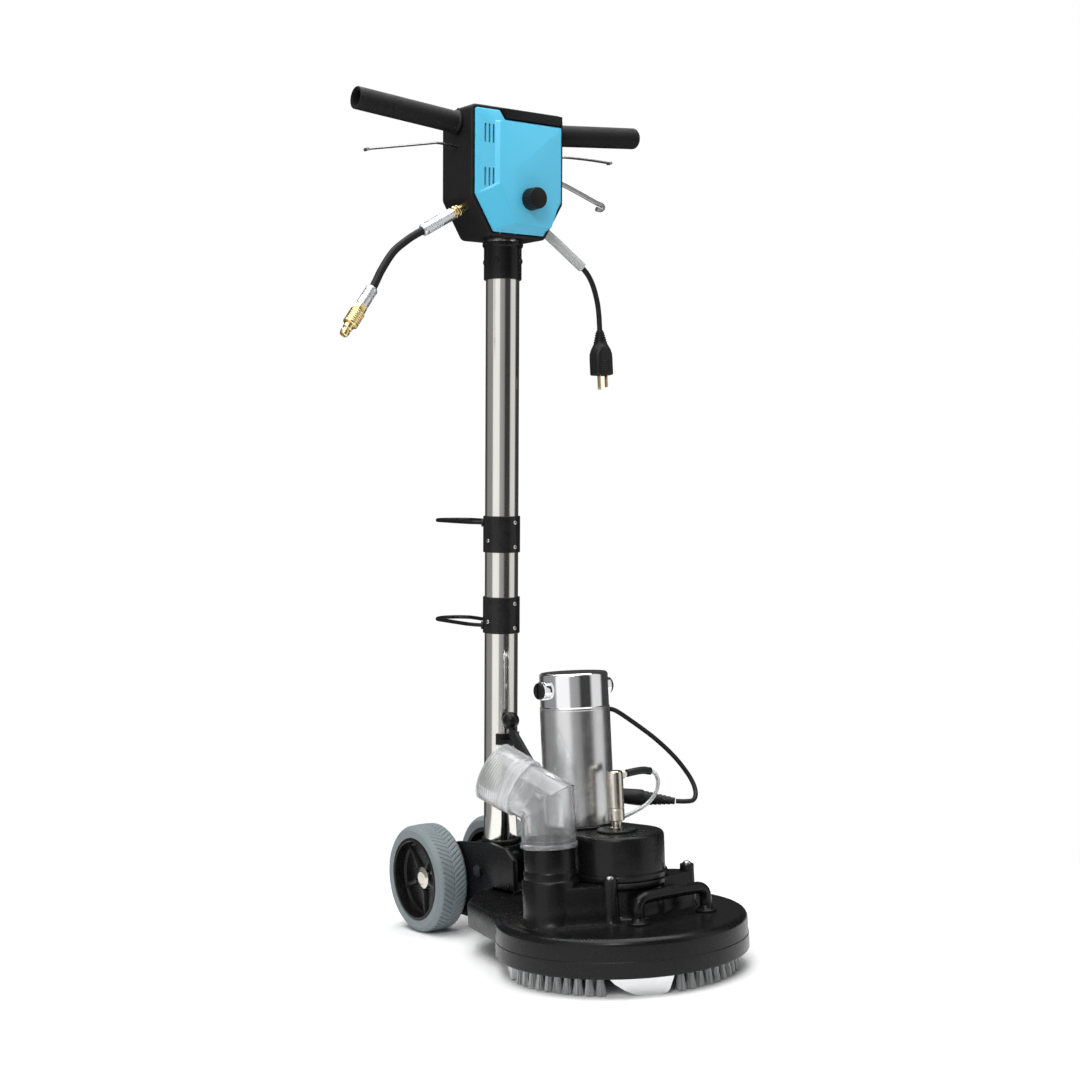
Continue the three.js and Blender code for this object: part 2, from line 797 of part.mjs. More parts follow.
// Column: tube, foot, collar, hooks (column frame: origin on the tilt pivot, s up the tube)
const tube = cut(
  upright(0, 0, TUBE.bottom, TUBE.top, TUBE.r, 20),
  upright(0, 0, TUBE.bottom - 1, TUBE.top + 1, TUBE.r - TUBE.wall, 20),
  rod(vec(-40, 0, 0), vec(40, 0, 0), PIVOT.r + GAP, 20),
);
piece(column, "column_tube", tube, CHROME);
const foot = cut(
  block(-27.5, 27.5, -30, 27, -14, 38),
  upright(0, 0, TUBE.bottom - GAP, 60, TUBE.r + GAP, 20),
  rod(vec(-40, 0, 0), vec(40, 0, 0), PIVOT.r + GAP, 20),
  rod(vec(0, -20, 26), vec(0, -40, 26), 3.3, 12),
);
piece(column, "foot_socket", foot, BLACK);
piece(
  column,
  "clamp_knob",
  join(
    rod(vec(0, -24.6, 26), vec(0, -34, 26), 3, 12),
    rod(vec(0, -30.3, 26), vec(0, -36, 26), 5, 12),
    rod(vec(0, -35, 26), vec(0, -44, 26), 7, 16, 6),
  ),
  BLACK,
);
const latch = cut(
  join(
    upright(0, 0, LATCH_S - 12, LATCH_S + 4, TUBE.r + 3, 20),
    block(LEVER.x - 8, LEVER.x + 8, -34, -18, LATCH_S - 14, LATCH_S - 4),
  ),
  upright(0, 0, LATCH_S - 20, LATCH_S + 20, TUBE.r + GAP, 20),
  block(-40, 40, -14, 40, LATCH_S - 16, LATCH_S + 8),
);
piece(column, "latch_band", latch, BLACK);
const collar = cut(
  join(
    upright(0, 0, 847, BOX.bottom - GAP, 27, 20),
    upright(0, 0, 893, BOX.bottom - GAP, 29, 20),
  ),
  upright(0, 0, 840, 910, TUBE.r + GAP, 20),
);
piece(column, "column_collar", collar, BLACK);

function cordHook(s, rodAt) {
  const band = cut(
    upright(0, 0, s, s + HOOK.height, TUBE.r + 2.6, 20),
    upright(0, 0, s - 1, s + HOOK.height + 1, TUBE.r + GAP, 20),
  );
  const bend = [];
  for (let i = 0; i <= 8; i++) {
    const a = Math.PI - (i / 8) * Math.PI;
    bend.push(vec(Math.cos(a) * HOOK.half, HOOK.reach - HOOK.half + Math.sin(a) * HOOK.half, rodAt));
  }
  const leg = (side) => [
    vec(side * 20, 14, rodAt),
    vec(side * 25, 22, rodAt),
    vec(side * HOOK.half, 40, rodAt),
    vec(side * HOOK.half, 80, rodAt),
  ];
  const loop = sweep([...leg(-1), ...bend, ...leg(1).reverse()], HOOK.rod, 6, 24);
  return join(band, loop).subtract(upright(0, 0, s - 1, s + HOOK.height + 1, TUBE.r + GAP, 20));
}
piece(column, "cord_hook_upper", cordHook(HOOK.upper, HOOK.upper + 42), SATIN_BLACK);
piece(column, "cord_hook_lower", cordHook(HOOK.lower, HOOK.lower + 10), SATIN_BLACK);

// Handle box
const outline = (inset, low = 0) => [
  [-BOX.half + inset, BOX.top - inset],
  [-BOX.half + inset, BOX.shoulder + inset * 0.5],
  [-BOX.foot + inset * 0.6, BOX.bottom + inset + low],
  [BOX.foot - inset * 0.6, BOX.bottom + inset + low],
  [BOX.half - inset, BOX.shoulder + inset * 0.5],
  [BOX.half - inset, BOX.top - inset],
];
const barTilt = THREE.MathUtils.degToRad(BAR.rise);
const barPoint = (x) => vec(x, 0, BAR.s + Math.abs(x) * Math.tan(barTilt));
const barHole = join(
  rod(barPoint(-100), barPoint(0), BAR.r + GAP, 20),
  rod(barPoint(100), barPoint(0), BAR.r + GAP, 20),
);
const LEVER_S = 1027;
const LEVER_LINES = {
  left: [
    [60, 0],
    [84, 1],
    [103, 1.7],
    [112, 1.5],
    [121, -0.4],
    [182, -12],
    [221, -19.3],
  ],
  right: [
    [60, 0],
    [84, 1.5],
    [108, 5.3],
    [150, 6.5],
    [190, 6],
  ],
};
const leverSlot = (side) =>
  block(Math.min(side * 66, side * 82), Math.max(side * 66, side * 82), -5, 5, LEVER_S - 16, LEVER_S + 16);
const toColumn = (at) =>
  at.clone().sub(vec(0, PIVOT.y, PIVOT.z)).applyAxisAngle(vec(1, 0, 0), -LEAN);
const HOSE_DIR = vec(-0.872, 0, -0.489).normalize();
const HOSE_IN = vec(-80, 195, 1029);
const hoseOut = (distance) => HOSE_IN.clone().addScaledVector(HOSE_DIR, distance);
// The rear upper edge is cut off at a slant, outside and inside.
const rearSlant = (inset) =>
  cheek(
    [
      [2 - inset, BOX.top + 1 - inset],
      [BOX.back + 1 - inset, BOX.top - 24.5 - inset],
      [BOX.back + 20, BOX.top - 24.5 - inset],
      [BOX.back + 20, BOX.top + 20],
      [2 - inset, BOX.top + 20],
    ],
    -100,
    100,
  );
const shell = cut(
  join(
    panel(outline(0), BOX.front, BOX.back).subtract(rearSlant(0)),
    block(-24, 70, BOX.front - 5, BOX.front + 1, BOX.top - 15.5, BOX.top - 1),
  ),
  panel(outline(BOX.wall), BOX.front - 6, BOX.back - BOX.wall)
    .subtract(rearSlant(3.5))
    .subtract(block(-25, 71, BOX.front - 8, BOX.front + 3, BOX.top - 15.5, BOX.top)),
  barHole,
  leverSlot(-1),
  leverSlot(1),
  upright(0, 0, 890, 910, TUBE.r + GAP, 20),
  rod(toColumn(hoseOut(-30)), toColumn(hoseOut(8)), 5.8, 16),
  rod(toColumn(vec(40, 195, 1028)), toColumn(vec(80, 195, 1000.3)), 4.5, 12),
  rod(vec(58, 18, 1006.5), vec(92, 18, 1003), 4.6, 12),
);
piece(column, "box_shell", shell, BLACK);
const coverBase = panel(outline(5.5), BOX.front - 3, BOX.front - GAP);
const plateau = panel(
  [
    [-38, BOX.top - 14],
    [-38, BOX.shoulder + 21],
    [-10.6, BOX.bottom + 19],
    [52, BOX.bottom + 17],
    [68, BOX.shoulder + 4],
    [68, BOX.top - 18],
  ],
  BOX.front - 8,
  BOX.front - 2,
);
const KNOB_AT = vec(16.2, 0, 957.2);
const cover = cut(
  join(coverBase, plateau),
  rod(vec(KNOB_AT.x, -60, KNOB_AT.z), vec(KNOB_AT.x, -20, KNOB_AT.z), 4.3, 16),
  panel(
    [
      [-33, BOX.top],
      [-33, BOX.top - 5.5],
      [-24, BOX.top - 16.5],
      [90, BOX.top - 16.5],
      [90, BOX.top],
    ],
    BOX.front - 20,
    BOX.front + 10,
  ),
);
piece(column, "box_cover", cover, BLUE);
const barOuter = join(
  rod(barPoint(-BAR.half), barPoint(0), BAR.r, 14),
  rod(barPoint(BAR.half), barPoint(0), BAR.r, 14),
  solid(new THREE.SphereGeometry(BAR.r, 12, 6).translate(0, 0, BAR.s)),
);
const barBore = join(
  rod(barPoint(-BAR.half - 10), barPoint(0), BAR.r - 2, 12),
  rod(barPoint(BAR.half + 10), barPoint(0), BAR.r - 2, 12),
);
piece(column, "handlebar_tube", barOuter.subtract(barBore), STEEL);
for (const [side, word] of [
  [-1, "left"],
  [1, "right"],
]) {
  const grip = cut(
    rod(barPoint(side * BAR.gripIn), barPoint(side * (BAR.half + 1.5)), BAR.gripR, 20),
    rod(barPoint(side * (BAR.gripIn - 5)), barPoint(side * (BAR.half + 10)), BAR.r + GAP, 20),
  );
  piece(column, "grip_" + word, grip, RUBBER);
  const blade = sweep(
    LEVER_LINES[word].map(([out, rise]) => vec(side * out, 0, LEVER_S + rise)),
    2.6,
    6,
    16,
  );
  const eye = rod(vec(side * 60, -4, LEVER_S), vec(side * 60, 4, LEVER_S), 8, 16);
  const pinHole = rod(vec(side * 60, -9, LEVER_S), vec(side * 60, 9, LEVER_S), 3.3, 12);
  piece(column, "lever_" + word, cut(join(blade, eye), pinHole), STEEL);
}
// One bracket inside the box carries both lever pins and is screwed to the back wall.
const leverBracket = join(
  block(-66, 66, 26, BOX.back - BOX.wall - GAP, LEVER_S - 8, LEVER_S + 8),
  block(-66, -54, 5, 27, LEVER_S - 6, LEVER_S + 6),
  block(54, 66, 5, 27, LEVER_S - 6, LEVER_S + 6),
  rod(vec(-60, -7, LEVER_S), vec(-60, 8, LEVER_S), 3, 12),
  rod(vec(60, -7, LEVER_S), vec(60, 8, LEVER_S), 3, 12),
);
piece(column, "lever_bracket", leverBracket, STEEL);
piece(
  column,
  "control_knob",
  join(
    rod(vec(KNOB_AT.x, -46.5, KNOB_AT.z), vec(KNOB_AT.x, -66, KNOB_AT.z), 15.6, 28, 15.2),
    rod(vec(KNOB_AT.x, -30.6, KNOB_AT.z), vec(KNOB_AT.x, -50, KNOB_AT.z), 3, 12),
  ),
  BLACK,
);
piece(
  column,
  "speed_dial",
  cut(
    join(
      rod(vec(KNOB_AT.x, -30, KNOB_AT.z), vec(KNOB_AT.x, -18, KNOB_AT.z), 11, 20),
      block(-36, 46, -18.5, -16, 935, 1000),
    ),
    rod(vec(KNOB_AT.x, -31, KNOB_AT.z), vec(KNOB_AT.x, -24, KNOB_AT.z), 3.4, 12),
  ),
  BOARD,
);
piece(
  column,
  "solution_valve",
  join(
    block(-52, -22, -8, 16, 935, 962),
    rod(vec(-37, 4, 962), vec(-37, 4, 985), 6, 12),
  ).subtract(rod(toColumn(hoseOut(-18)), toColumn(hoseOut(8)), 5.8, 16)),
  BRASS,
);
piece(
  column,
  "box_hook",
  join(
    sweep(
      [
        vec(62, 18, 1006),
        vec(78, 18, 1005),
        vec(100, 18, 1001),
        vec(121.6, 18, 995.4),
        vec(150, 18, 986),
        vec(179.6, 18, 975.7),
        vec(190, 18, 973.2),
        vec(192.6, 18, 969.5),
        vec(188, 18, 966),
        vec(180, 18, 966.6),
      ],
      3.4,
      8,
      22,
    ),
    rod(vec(62, 18, 1006), vec(67, 18, 1005.8), 8, 12),
  ),
  STEEL,
);

// Solution hose: brass inlet, crimped ferrule, hose, ferrule with quick coupler
piece(
  machine,
  "inlet_fitting",
  join(rod(hoseOut(-16), hoseOut(4), 5.5, 12), rod(hoseOut(2), hoseOut(13), 8.5, 6)),
  BRASS,
);
piece(machine, "hose_ferrule", rod(hoseOut(13.3), hoseOut(70), 8.6, 16), STEEL);
const HOSE_PATH = [
  hoseOut(70.3),
  hoseOut(80),
  vec(-164, 195, 981),
  vec(-187, 195, 963),
  vec(-206, 195, 938),
  vec(-216, 195, 921),
  vec(-221.5, 195, 911.5),
];
piece(machine, "solution_hose", sweep(HOSE_PATH, 5.4, 10, 14), RUBBER);
const COUPLER_TOP = vec(-221.8, 195, 911);
const COUPLER_DIR = vec(-0.59, 0, -0.81).normalize();
const couplerOut = (distance) => COUPLER_TOP.clone().addScaledVector(COUPLER_DIR, distance);
piece(
  machine,
  "hose_coupler",
  join(
    rod(couplerOut(0), couplerOut(32), 8.6, 16),
    rod(couplerOut(31), couplerOut(42), 9.5, 6),
    rod(couplerOut(41), couplerOut(64), 10.5, 20),
    rod(couplerOut(63), couplerOut(82), 7, 16, 5.5),
  ),
  BRASS,
);

// Mains lead: clear sleeve at the box, black cord, moulded plug
const CORD_PATH = [
  vec(55, 195, 1017.6),
  vec(76, 195, 1003),
  vec(100, 195, 986),
  vec(132, 195, 962),
  vec(146, 195, 944),
  vec(154, 195, 920),
  vec(157, 195, 898),
  vec(157.5, 195, 874),
];
piece(machine, "mains_cord", sweep(CORD_PATH, 3.9, 8, 20), RUBBER);
const SLEEVE = [
  vec(64, 195, 1011.3),
  vec(82, 195, 999),
  vec(100, 195, 986),
  vec(118, 195, 972.8),
  vec(130, 195, 963.8),
];
const SLEEVE_BORE = [vec(52, 195, 1019.7), ...CORD_PATH.slice(1, 4), vec(143, 195, 951)];
piece(
  machine,
  "cord_label_sleeve",
  cut(sweep(SLEEVE, 7, 10, 7), sweep(SLEEVE_BORE, 4.7, 10, 14)),
  WHITE,
);
const plugBody = prism(
  [
    [-10, -12],
    [10, -12],
    [15.5, -7],
    [15.5, 7],
    [10, 12],
    [-10, 12],
    [-15.5, 7],
    [-15.5, -7],
  ],
  PLUG.bottom,
  PLUG.bottom + 38,
).translate([PLUG.x, PLUG.y, 0]);
const plug = join(
  plugBody,
  rod(vec(PLUG.x, PLUG.y, PLUG.bottom + 37), vec(PLUG.x, PLUG.y, PLUG.top), 12, 16, 6),
  block(PLUG.x - 7.2, PLUG.x - 5.7, PLUG.y - 3.2 - 2, PLUG.y + 3.2 - 2, PLUG.bottom - 18, PLUG.bottom + 1),
  block(PLUG.x + 5.7, PLUG.x + 7.2, PLUG.y - 3.2 - 2, PLUG.y + 3.2 - 2, PLUG.bottom - 18, PLUG.bottom + 1),
  rod(vec(PLUG.x, PLUG.y + 7, PLUG.bottom - 21), vec(PLUG.x, PLUG.y + 7, PLUG.bottom + 1), 2.4, 12),
);
piece(machine, "mains_plug", plug, BLACK);

export default root;
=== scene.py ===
"""The looks of the rotary carpet cleaner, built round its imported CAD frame.

Shapes are given in millimetres, either in the head's frame (head axis at x = y = 0) or in the
column's frame (origin on the tilt pivot, third number up the tube), and are placed in metres.
"""

import math
import random

import bmesh
import bpy
from mathutils import Matrix, Vector


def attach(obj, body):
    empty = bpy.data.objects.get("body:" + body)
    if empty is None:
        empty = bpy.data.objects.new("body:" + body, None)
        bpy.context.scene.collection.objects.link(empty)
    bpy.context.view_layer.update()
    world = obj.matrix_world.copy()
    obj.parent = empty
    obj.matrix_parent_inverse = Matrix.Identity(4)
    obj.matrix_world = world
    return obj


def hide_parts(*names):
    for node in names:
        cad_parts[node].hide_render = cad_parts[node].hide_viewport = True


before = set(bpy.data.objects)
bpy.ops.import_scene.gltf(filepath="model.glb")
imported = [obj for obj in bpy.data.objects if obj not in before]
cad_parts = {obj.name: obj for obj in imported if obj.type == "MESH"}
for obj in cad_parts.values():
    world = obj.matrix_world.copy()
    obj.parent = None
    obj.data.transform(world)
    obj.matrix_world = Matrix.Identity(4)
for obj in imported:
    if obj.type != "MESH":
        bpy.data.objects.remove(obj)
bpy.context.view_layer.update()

# Places that several pieces share, in the head's frame
MOTOR_BACK = 82
PORT = Vector((-101, 12, 0))
PIVOT = Vector((0, 283, 95))
AXLE = Vector((0, 383, 78))

LEAN = math.radians(4.84)
HEAD = Matrix.Translation((0, -0.1475, 0)) @ Matrix.Scale(0.001, 4)
COLUMN = HEAD @ Matrix.Translation(PIVOT) @ Matrix.Rotation(LEAN, 4, "X")


def add(name, data):
    """A new object, linked into the scene."""
    thing = bpy.data.objects.new(name, data)
    bpy.context.scene.collection.objects.link(thing)
    return thing


# Camera, at the photographed angle, in metres and radians
CAMERA_AT = (-1.3057, -1.8617, 0.5185)
YAW, PITCH, ROLL = 0.6118, -0.0207, -0.0433


def make_camera():
    data = bpy.data.cameras.new("camera")
    data.lens = 54.55
    data.sensor_width = 36
    data.clip_end = 30
    camera = add("camera", data)
    ahead = Vector(
        (math.sin(YAW) * math.cos(PITCH), math.cos(YAW) * math.cos(PITCH), -math.sin(PITCH))
    )
    level = Vector((math.cos(YAW), -math.sin(YAW), 0))
    above = level.cross(ahead)
    right = level * math.cos(ROLL) + above * math.sin(ROLL)
    up = above * math.cos(ROLL) - level * math.sin(ROLL)
    turn = Matrix((right, up, -ahead)).transposed().to_4x4()
    camera.matrix_world = Matrix.Translation(CAMERA_AT) @ turn
    bpy.context.scene.camera = camera


make_camera()


# Shapes: each is a list of points in millimetres and a list of faces
def smooth_line(points, count):
    """A smooth line through the points, as count points an equal way apart."""
    p = [Vector(q) for q in points]
    p = [p[0] * 2 - p[1], *p, p[-1] * 2 - p[-2]]
    fine, steps = [], 24
    for i in range(1, len(p) - 2):
        for k in range(steps):
            t = k / steps
            fine.append(0.5 * (
                2 * p[i]
                + (p[i + 1] - p[i - 1]) * t
                + (2 * p[i - 1] - 5 * p[i] + 4 * p[i + 1] - p[i + 2]) * t * t
                + (3 * p[i] - p[i - 1] - 3 * p[i + 1] + p[i + 2]) * t**3
            ))
    fine.append(p[-2])
    along = [0.0]
    for a, b in zip(fine, fine[1:]):
        along.append(along[-1] + (b - a).length)
    line, j = [], 0
    for i in range(count):
        want = along[-1] * i / (count - 1)
        while j < len(fine) - 2 and along[j + 1] < want:
            j += 1
        span = along[j + 1] - along[j]
        line.append(fine[j].lerp(fine[j + 1], (want - along[j]) / span if span else 0))
    return line


def arc(cx, cy, r, start, end, steps=8):
    """Points of an arc, angles in degrees."""
    turn = [math.radians(start + (end - start) * i / steps) for i in range(steps + 1)]
    return [(cx + r * math.cos(a), cy + r * math.sin(a)) for a in turn]


def rings(loops, closed=False, caps=True):
    """Faces between equal rings of points, with the ends closed by flat faces."""
    n = len(loops[0])
    points = [p for loop in loops for p in loop]
    pairs = [(i, i + 1) for i in range(len(loops) - 1)]
    if closed:
        pairs.append((len(loops) - 1, 0))
    faces = [
        (a * n + k, a * n + (k + 1) % n, b * n + (k + 1) % n, b * n + k)
        for a, b in pairs
        for k in range(n)
    ]
    if caps and not closed:
        faces.append(tuple(range(n))[::-1])
        faces.append(tuple((len(loops) - 1) * n + k for k in range(n)))
    return points, faces


def circle(count):
    """Angles an equal way apart round a circle."""
    return [2 * math.pi * k / count for k in range(count)]


def lathe(profile, steps=72, closed=False):
    """A profile of (radius, height) turned about Z. A closed profile makes a ring."""
    turn = circle(steps)
    loops = [[(r * math.cos(a), r * math.sin(a), h) for a in turn] for r, h in profile]
    return rings(loops, closed, caps=False)


def tube(line, radius, sides=16, flat=1.0, up=None, inner=None):
    """A bar along a line, flat times as wide across up as along it; inner bores it out."""
    line = [Vector(p) for p in line]
    turn = circle(sides)
    way = (line[1] - line[0]).normalized()
    side = Vector(up) if up else way.orthogonal()
    side = (side - way * side.dot(way)).normalized()
    loops, bore = [], []
    for i, p in enumerate(line):
        a, b = line[max(i - 1, 0)], line[min(i + 1, len(line) - 1)]
        now = (b - a).normalized()
        side = way.rotation_difference(now) @ side
        side = (side - now * side.dot(now)).normalized()
        way = now
        other = now.cross(side)
        for r, made in ((radius, loops), (inner, bore)):
            if r:
                made.append(
                    [p + side * r * math.cos(t) + other * r * flat * math.sin(t) for t in turn]
                )
    return rings(loops + bore[::-1], closed=bool(inner))


def prism(outline, low, high):
    """An outline in the (x, y) plane raised from low to high."""
    return rings([[(x, y, low) for x, y in outline], [(x, y, high) for x, y in outline]])


def face_on(outline, near, far):
    """An outline in the (x, height) plane, from y = near to y = far."""
    return rings([[(x, near, h) for x, h in outline], [(x, far, h) for x, h in outline]])


def side_on(outline, near, far):
    """An outline in the (y, height) plane, from x = near to x = far."""
    return rings([[(near, y, h) for y, h in outline], [(far, y, h) for y, h in outline]])


def box(x0, x1, y0, y1, z0, z1):
    return prism([(x0, y0), (x1, y0), (x1, y1), (x0, y1)], z0, z1)


def polygon(sides, r, phase=0.0):
    turn = [2 * math.pi * (k + phase) / sides for k in range(sides)]
    return [(r * math.cos(a), r * math.sin(a)) for a in turn]


def round_corners(outline, r, steps=5):
    """The outline with each corner rounded by r, or by less where its sides are short."""
    made = []
    n = len(outline)
    for i in range(n):
        a, p, b = (Vector(outline[(i + k) % n]) for k in (-1, 0, 1))
        u, v = (a - p), (b - p)
        turn = u.angle(v) / 2
        cutback = min(r / math.tan(turn), u.length * 0.45, v.length * 0.45)
        s, e = p + u.normalized() * cutback, p + v.normalized() * cutback
        for k in range(steps + 1):
            t = k / steps
            made.append(tuple(s * (1 - t) ** 2 + p * 2 * t * (1 - t) + e * t * t))
    return made


def moved(shape, matrix):
    return [matrix @ Vector(p) for p in shape[0]], shape[1]


def shifted(shape, by):
    return moved(shape, Matrix.Translation(by))


def aim(at, way):
    """The matrix that takes +Z at the origin to the direction way at the point at."""
    turn = Vector((0, 0, 1)).rotation_difference(Vector(way))
    return Matrix.Translation(at) @ turn.to_matrix().to_4x4()


def turned_on(profile, at, way, steps=40, closed=False):
    return moved(lathe(profile, steps, closed), aim(at, way))


def between(a, b, radius, end=None, sides=32, edge=0.6):
    """A round bar between two points with slightly broken edges."""
    a, b = Vector(a), Vector(b)
    end = radius if end is None else end
    long = (b - a).length
    profile = [(0, 0), (radius - edge, 0), (radius, edge)]
    profile += [(end, long - edge), (end - edge, long), (0, long)]
    return turned_on(profile, a, b - a, sides)


def button_screw(at, way, r=4.0, high=2.4):
    """A button head with a six-sided recess, its foot sunk into the surface."""
    recess, foot = r * 0.42, -0.4
    head = [(recess, high), (r * 0.62, high), (r * 0.88, high * 0.72), (r, high * 0.3), (r, foot)]
    well = rings([[(x, y, h) for x, y in polygon(6, recess)] for h in (high * 0.35, foot)])
    return [moved(shape, aim(at, way)) for shape in (lathe(head, 24), well)]


def mesh_of(name, shapes, place):
    bm = bmesh.new()
    for points, faces in shapes:
        seen, index = {}, []
        for p in points:
            key = tuple(round(c, 4) for c in p)
            if key not in seen:
                seen[key] = bm.verts.new(p)
            index.append(seen[key])
        for face in faces:
            corners = []
            for k in face:
                if not corners or index[k] is not corners[-1]:
                    corners.append(index[k])
            if len(corners) > 1 and corners[0] is corners[-1]:
                corners.pop()
            if len(set(corners)) > 2 and len(set(corners)) == len(corners):
                try:
                    bm.faces.new(corners)
                except ValueError:
                    pass
    loose = [v for v in bm.verts if not v.link_faces]
    bmesh.ops.delete(bm, geom=loose, context="VERTS")
    bmesh.ops.recalc_face_normals(bm, faces=bm.faces)
    mesh = bpy.data.meshes.new(name)
    bm.to_mesh(mesh)
    bm.free()
    mesh.transform(place)
    return mesh


def shade(mesh, angle):
    mesh.shade_smooth()
    mesh.set_sharp_from_angle(angle=math.radians(angle))


def piece(name, shapes, place, look, body, stands_for=(), slot=None, bevel=0.0, angle=29, cuts=()):
    """A finished piece: its mesh, broken edges, material, body, and the CAD nodes it stands for.

    bevel is in mm. angle is in degrees: a sharper edge than that is not shaded smooth.
    """
    mesh = mesh_of(name, shapes, place)
    thing = add(name, mesh)
    if cuts:
        tool = add(name + "_tool", mesh_of(name + "_tool", cuts, place))
        taken = thing.modifiers.new("cut", "BOOLEAN")
        taken.object = tool
        taken.operation = "DIFFERENCE"
        taken.solver = "EXACT"
        taken.use_self = True
        apply_modifiers(thing)
        bpy.data.objects.remove(tool)
    if bevel:
        edge = thing.modifiers.new("edge", "BEVEL")
        edge.width = bevel / 1000
        edge.segments = 3
        edge.limit_method = "ANGLE"
        edge.angle_limit = math.radians(32)
        edge.use_clamp_overlap = True
        apply_modifiers(thing)
    shade(thing.data, angle)
    thing.data.materials.clear()
    thing.data.materials.append(look)
    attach(thing, body)
    if stands_for:
        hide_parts(*stands_for)
    return thing


def on_chassis(name, shapes, look, *more, **options):
    return piece(name, shapes, HEAD, look, "chassis", *more, **options)


def on_column(name, shapes, look, *more, **options):
    return piece(name, shapes, COLUMN, look, "column", *more, **options)


def apply_modifiers(thing):
    bpy.context.view_layer.update()
    seen = thing.evaluated_get(bpy.context.evaluated_depsgraph_get())
    done = bpy.data.meshes.new_from_object(seen)
    thing.modifiers.clear()
    thing.data = done


# Materials
def wire(tree, made, inputs):
    """Link a node's inputs, by name or number, to sockets, or set them to values."""
    for key, value in inputs.items():
        if isinstance(value, bpy.types.NodeSocket):
            tree.links.new(value, made.inputs[key])
        else:
            made.inputs[key].default_value = value


def node(tree, kind, inputs, **options):
    made = tree.nodes.new("ShaderNode" + kind)
    for key, value in options.items():
        setattr(made, key, value)
    wire(tree, made, inputs)
    return made


def finish(
    name, color, other, rough, spread=0.08, metal=0.0, cloud=25.0, grain=(), edge=None, sockets=None
):
    """A procedural material: two tones, uneven gloss, grain in layers, and worn edges.

    grain is a list of (texture, scale, stretch, strength, depth in mm), and edge is the
    color, the roughness and the amount of the wear.
    """
    look = bpy.data.materials.new(name)
    look.use_nodes = True
    tree = look.node_tree
    place = node(tree, "TexCoord", {}).outputs["Object"]
    noise = node(tree, "TexNoise", {"Scale": cloud, "Detail": 5, "Vector": place}).outputs["Fac"]
    tones = {0: noise, 6: (*color, 1), 7: (*other, 1)}
    tone = node(tree, "Mix", tones, data_type="RGBA").outputs[2]
    spots = {"Scale": cloud * 2.3, "Detail": 8, "Roughness": 0.65, "Vector": place}
    smudge = node(tree, "TexNoise", spots).outputs["Fac"]
    roughness = node(tree, "MapRange", {
        "From Min": 0.3, "From Max": 0.7, "To Min": max(rough - spread, 0.02),
        "To Max": rough + spread, "Value": smudge,
    }).outputs["Result"]
    if edge:
        worn_color, worn_rough, amount = edge
        point = node(tree, "NewGeometry", {}).outputs["Pointiness"]
        reach = {"From Min": 0.53, "From Max": 0.62, "To Max": amount, "Value": point}
        ramp = node(tree, "MapRange", reach).outputs["Result"]
        chips = node(tree, "Math", {0: ramp, 1: smudge}, operation="MULTIPLY").outputs["Value"]
        worn = {0: chips, 6: tone, 7: (*worn_color, 1)}
        tone = node(tree, "Mix", worn, data_type="RGBA").outputs[2]
        rubbed = {0: chips, 2: roughness, 3: worn_rough}
        roughness = node(tree, "Mix", rubbed, data_type="FLOAT").outputs[0]
    normal = {}
    for kind, scale, stretch, strength, depth in grain:
        mapping = node(tree, "Mapping", {"Scale": stretch, "Vector": place})
        inputs = {"Scale": scale, "Vector": mapping.outputs["Vector"]}
        if kind == "cells":
            height = node(tree, "TexVoronoi", inputs).outputs["Distance"]
        else:
            height = node(tree, "TexNoise", {**inputs, "Detail": 6}).outputs["Fac"]
        layer = {"Strength": strength, "Distance": depth / 1000, "Height": height, **normal}
        normal = {"Normal": node(tree, "Bump", layer).outputs["Normal"]}
    wire(tree, tree.nodes["Principled BSDF"], {
        "Metallic": metal, **(sockets or {}), "Base Color": tone, "Roughness": roughness, **normal,
    })
    return look


DULL = {"Specular IOR Level": 0.2}
EVEN = (1, 1, 1)
PLASTIC = finish(
    "black_plastic", (0.004, 0.004, 0.0043), (0.0065, 0.0065, 0.0068), 0.27, 0.07,
    grain=[("noise", 900, EVEN, 0.35, 0.12), ("cells", 1500, EVEN, 0.12, 0.08)],
    edge=((0.05, 0.05, 0.052), 0.3, 0.5),
    sockets=DULL,
)
BOX_PLASTIC = finish(
    "box_plastic", (0.0055, 0.0055, 0.006), (0.0085, 0.0085, 0.009), 0.42, 0.06,
    grain=[("noise", 1300, EVEN, 0.4, 0.1)],
    edge=((0.05, 0.05, 0.052), 0.36, 0.45),
    sockets=DULL,
)
PAINT = finish(
    "satin_black", (0.004, 0.004, 0.0045), (0.007, 0.007, 0.0075), 0.28, 0.07,
    grain=[("noise", 500, EVEN, 0.2, 0.1)],
    edge=((0.06, 0.06, 0.062), 0.28, 0.6),
    sockets=DULL,
)
RIBBED = finish(
    "grip_rubber", (0.008, 0.008, 0.0082), (0.013, 0.013, 0.0135), 0.55, 0.08,
    grain=[("noise", 1600, EVEN, 0.5, 0.12)],
    sockets=DULL,
)
RUBBER = finish(
    "lead_rubber", (0.009, 0.009, 0.0095), (0.014, 0.014, 0.0145), 0.42, 0.08,
    grain=[("noise", 1100, EVEN, 0.3, 0.08)],
    sockets=DULL,
)
TYRE = finish(
    "tyre_rubber", (0.155, 0.185, 0.195), (0.205, 0.238, 0.25), 0.72, 0.08, cloud=18,
    grain=[("noise", 700, EVEN, 0.5, 0.15), ("cells", 2200, EVEN, 0.2, 0.1)],
    edge=((0.3, 0.34, 0.35), 0.8, 0.5),
)
BLUE = finish(
    "blue_cover", (0.085, 0.51, 0.76), (0.11, 0.56, 0.8), 0.34, 0.05, cloud=12,
    grain=[("noise", 1400, EVEN, 0.28, 0.08)],
    edge=((0.2, 0.6, 0.88), 0.3, 0.35),
)
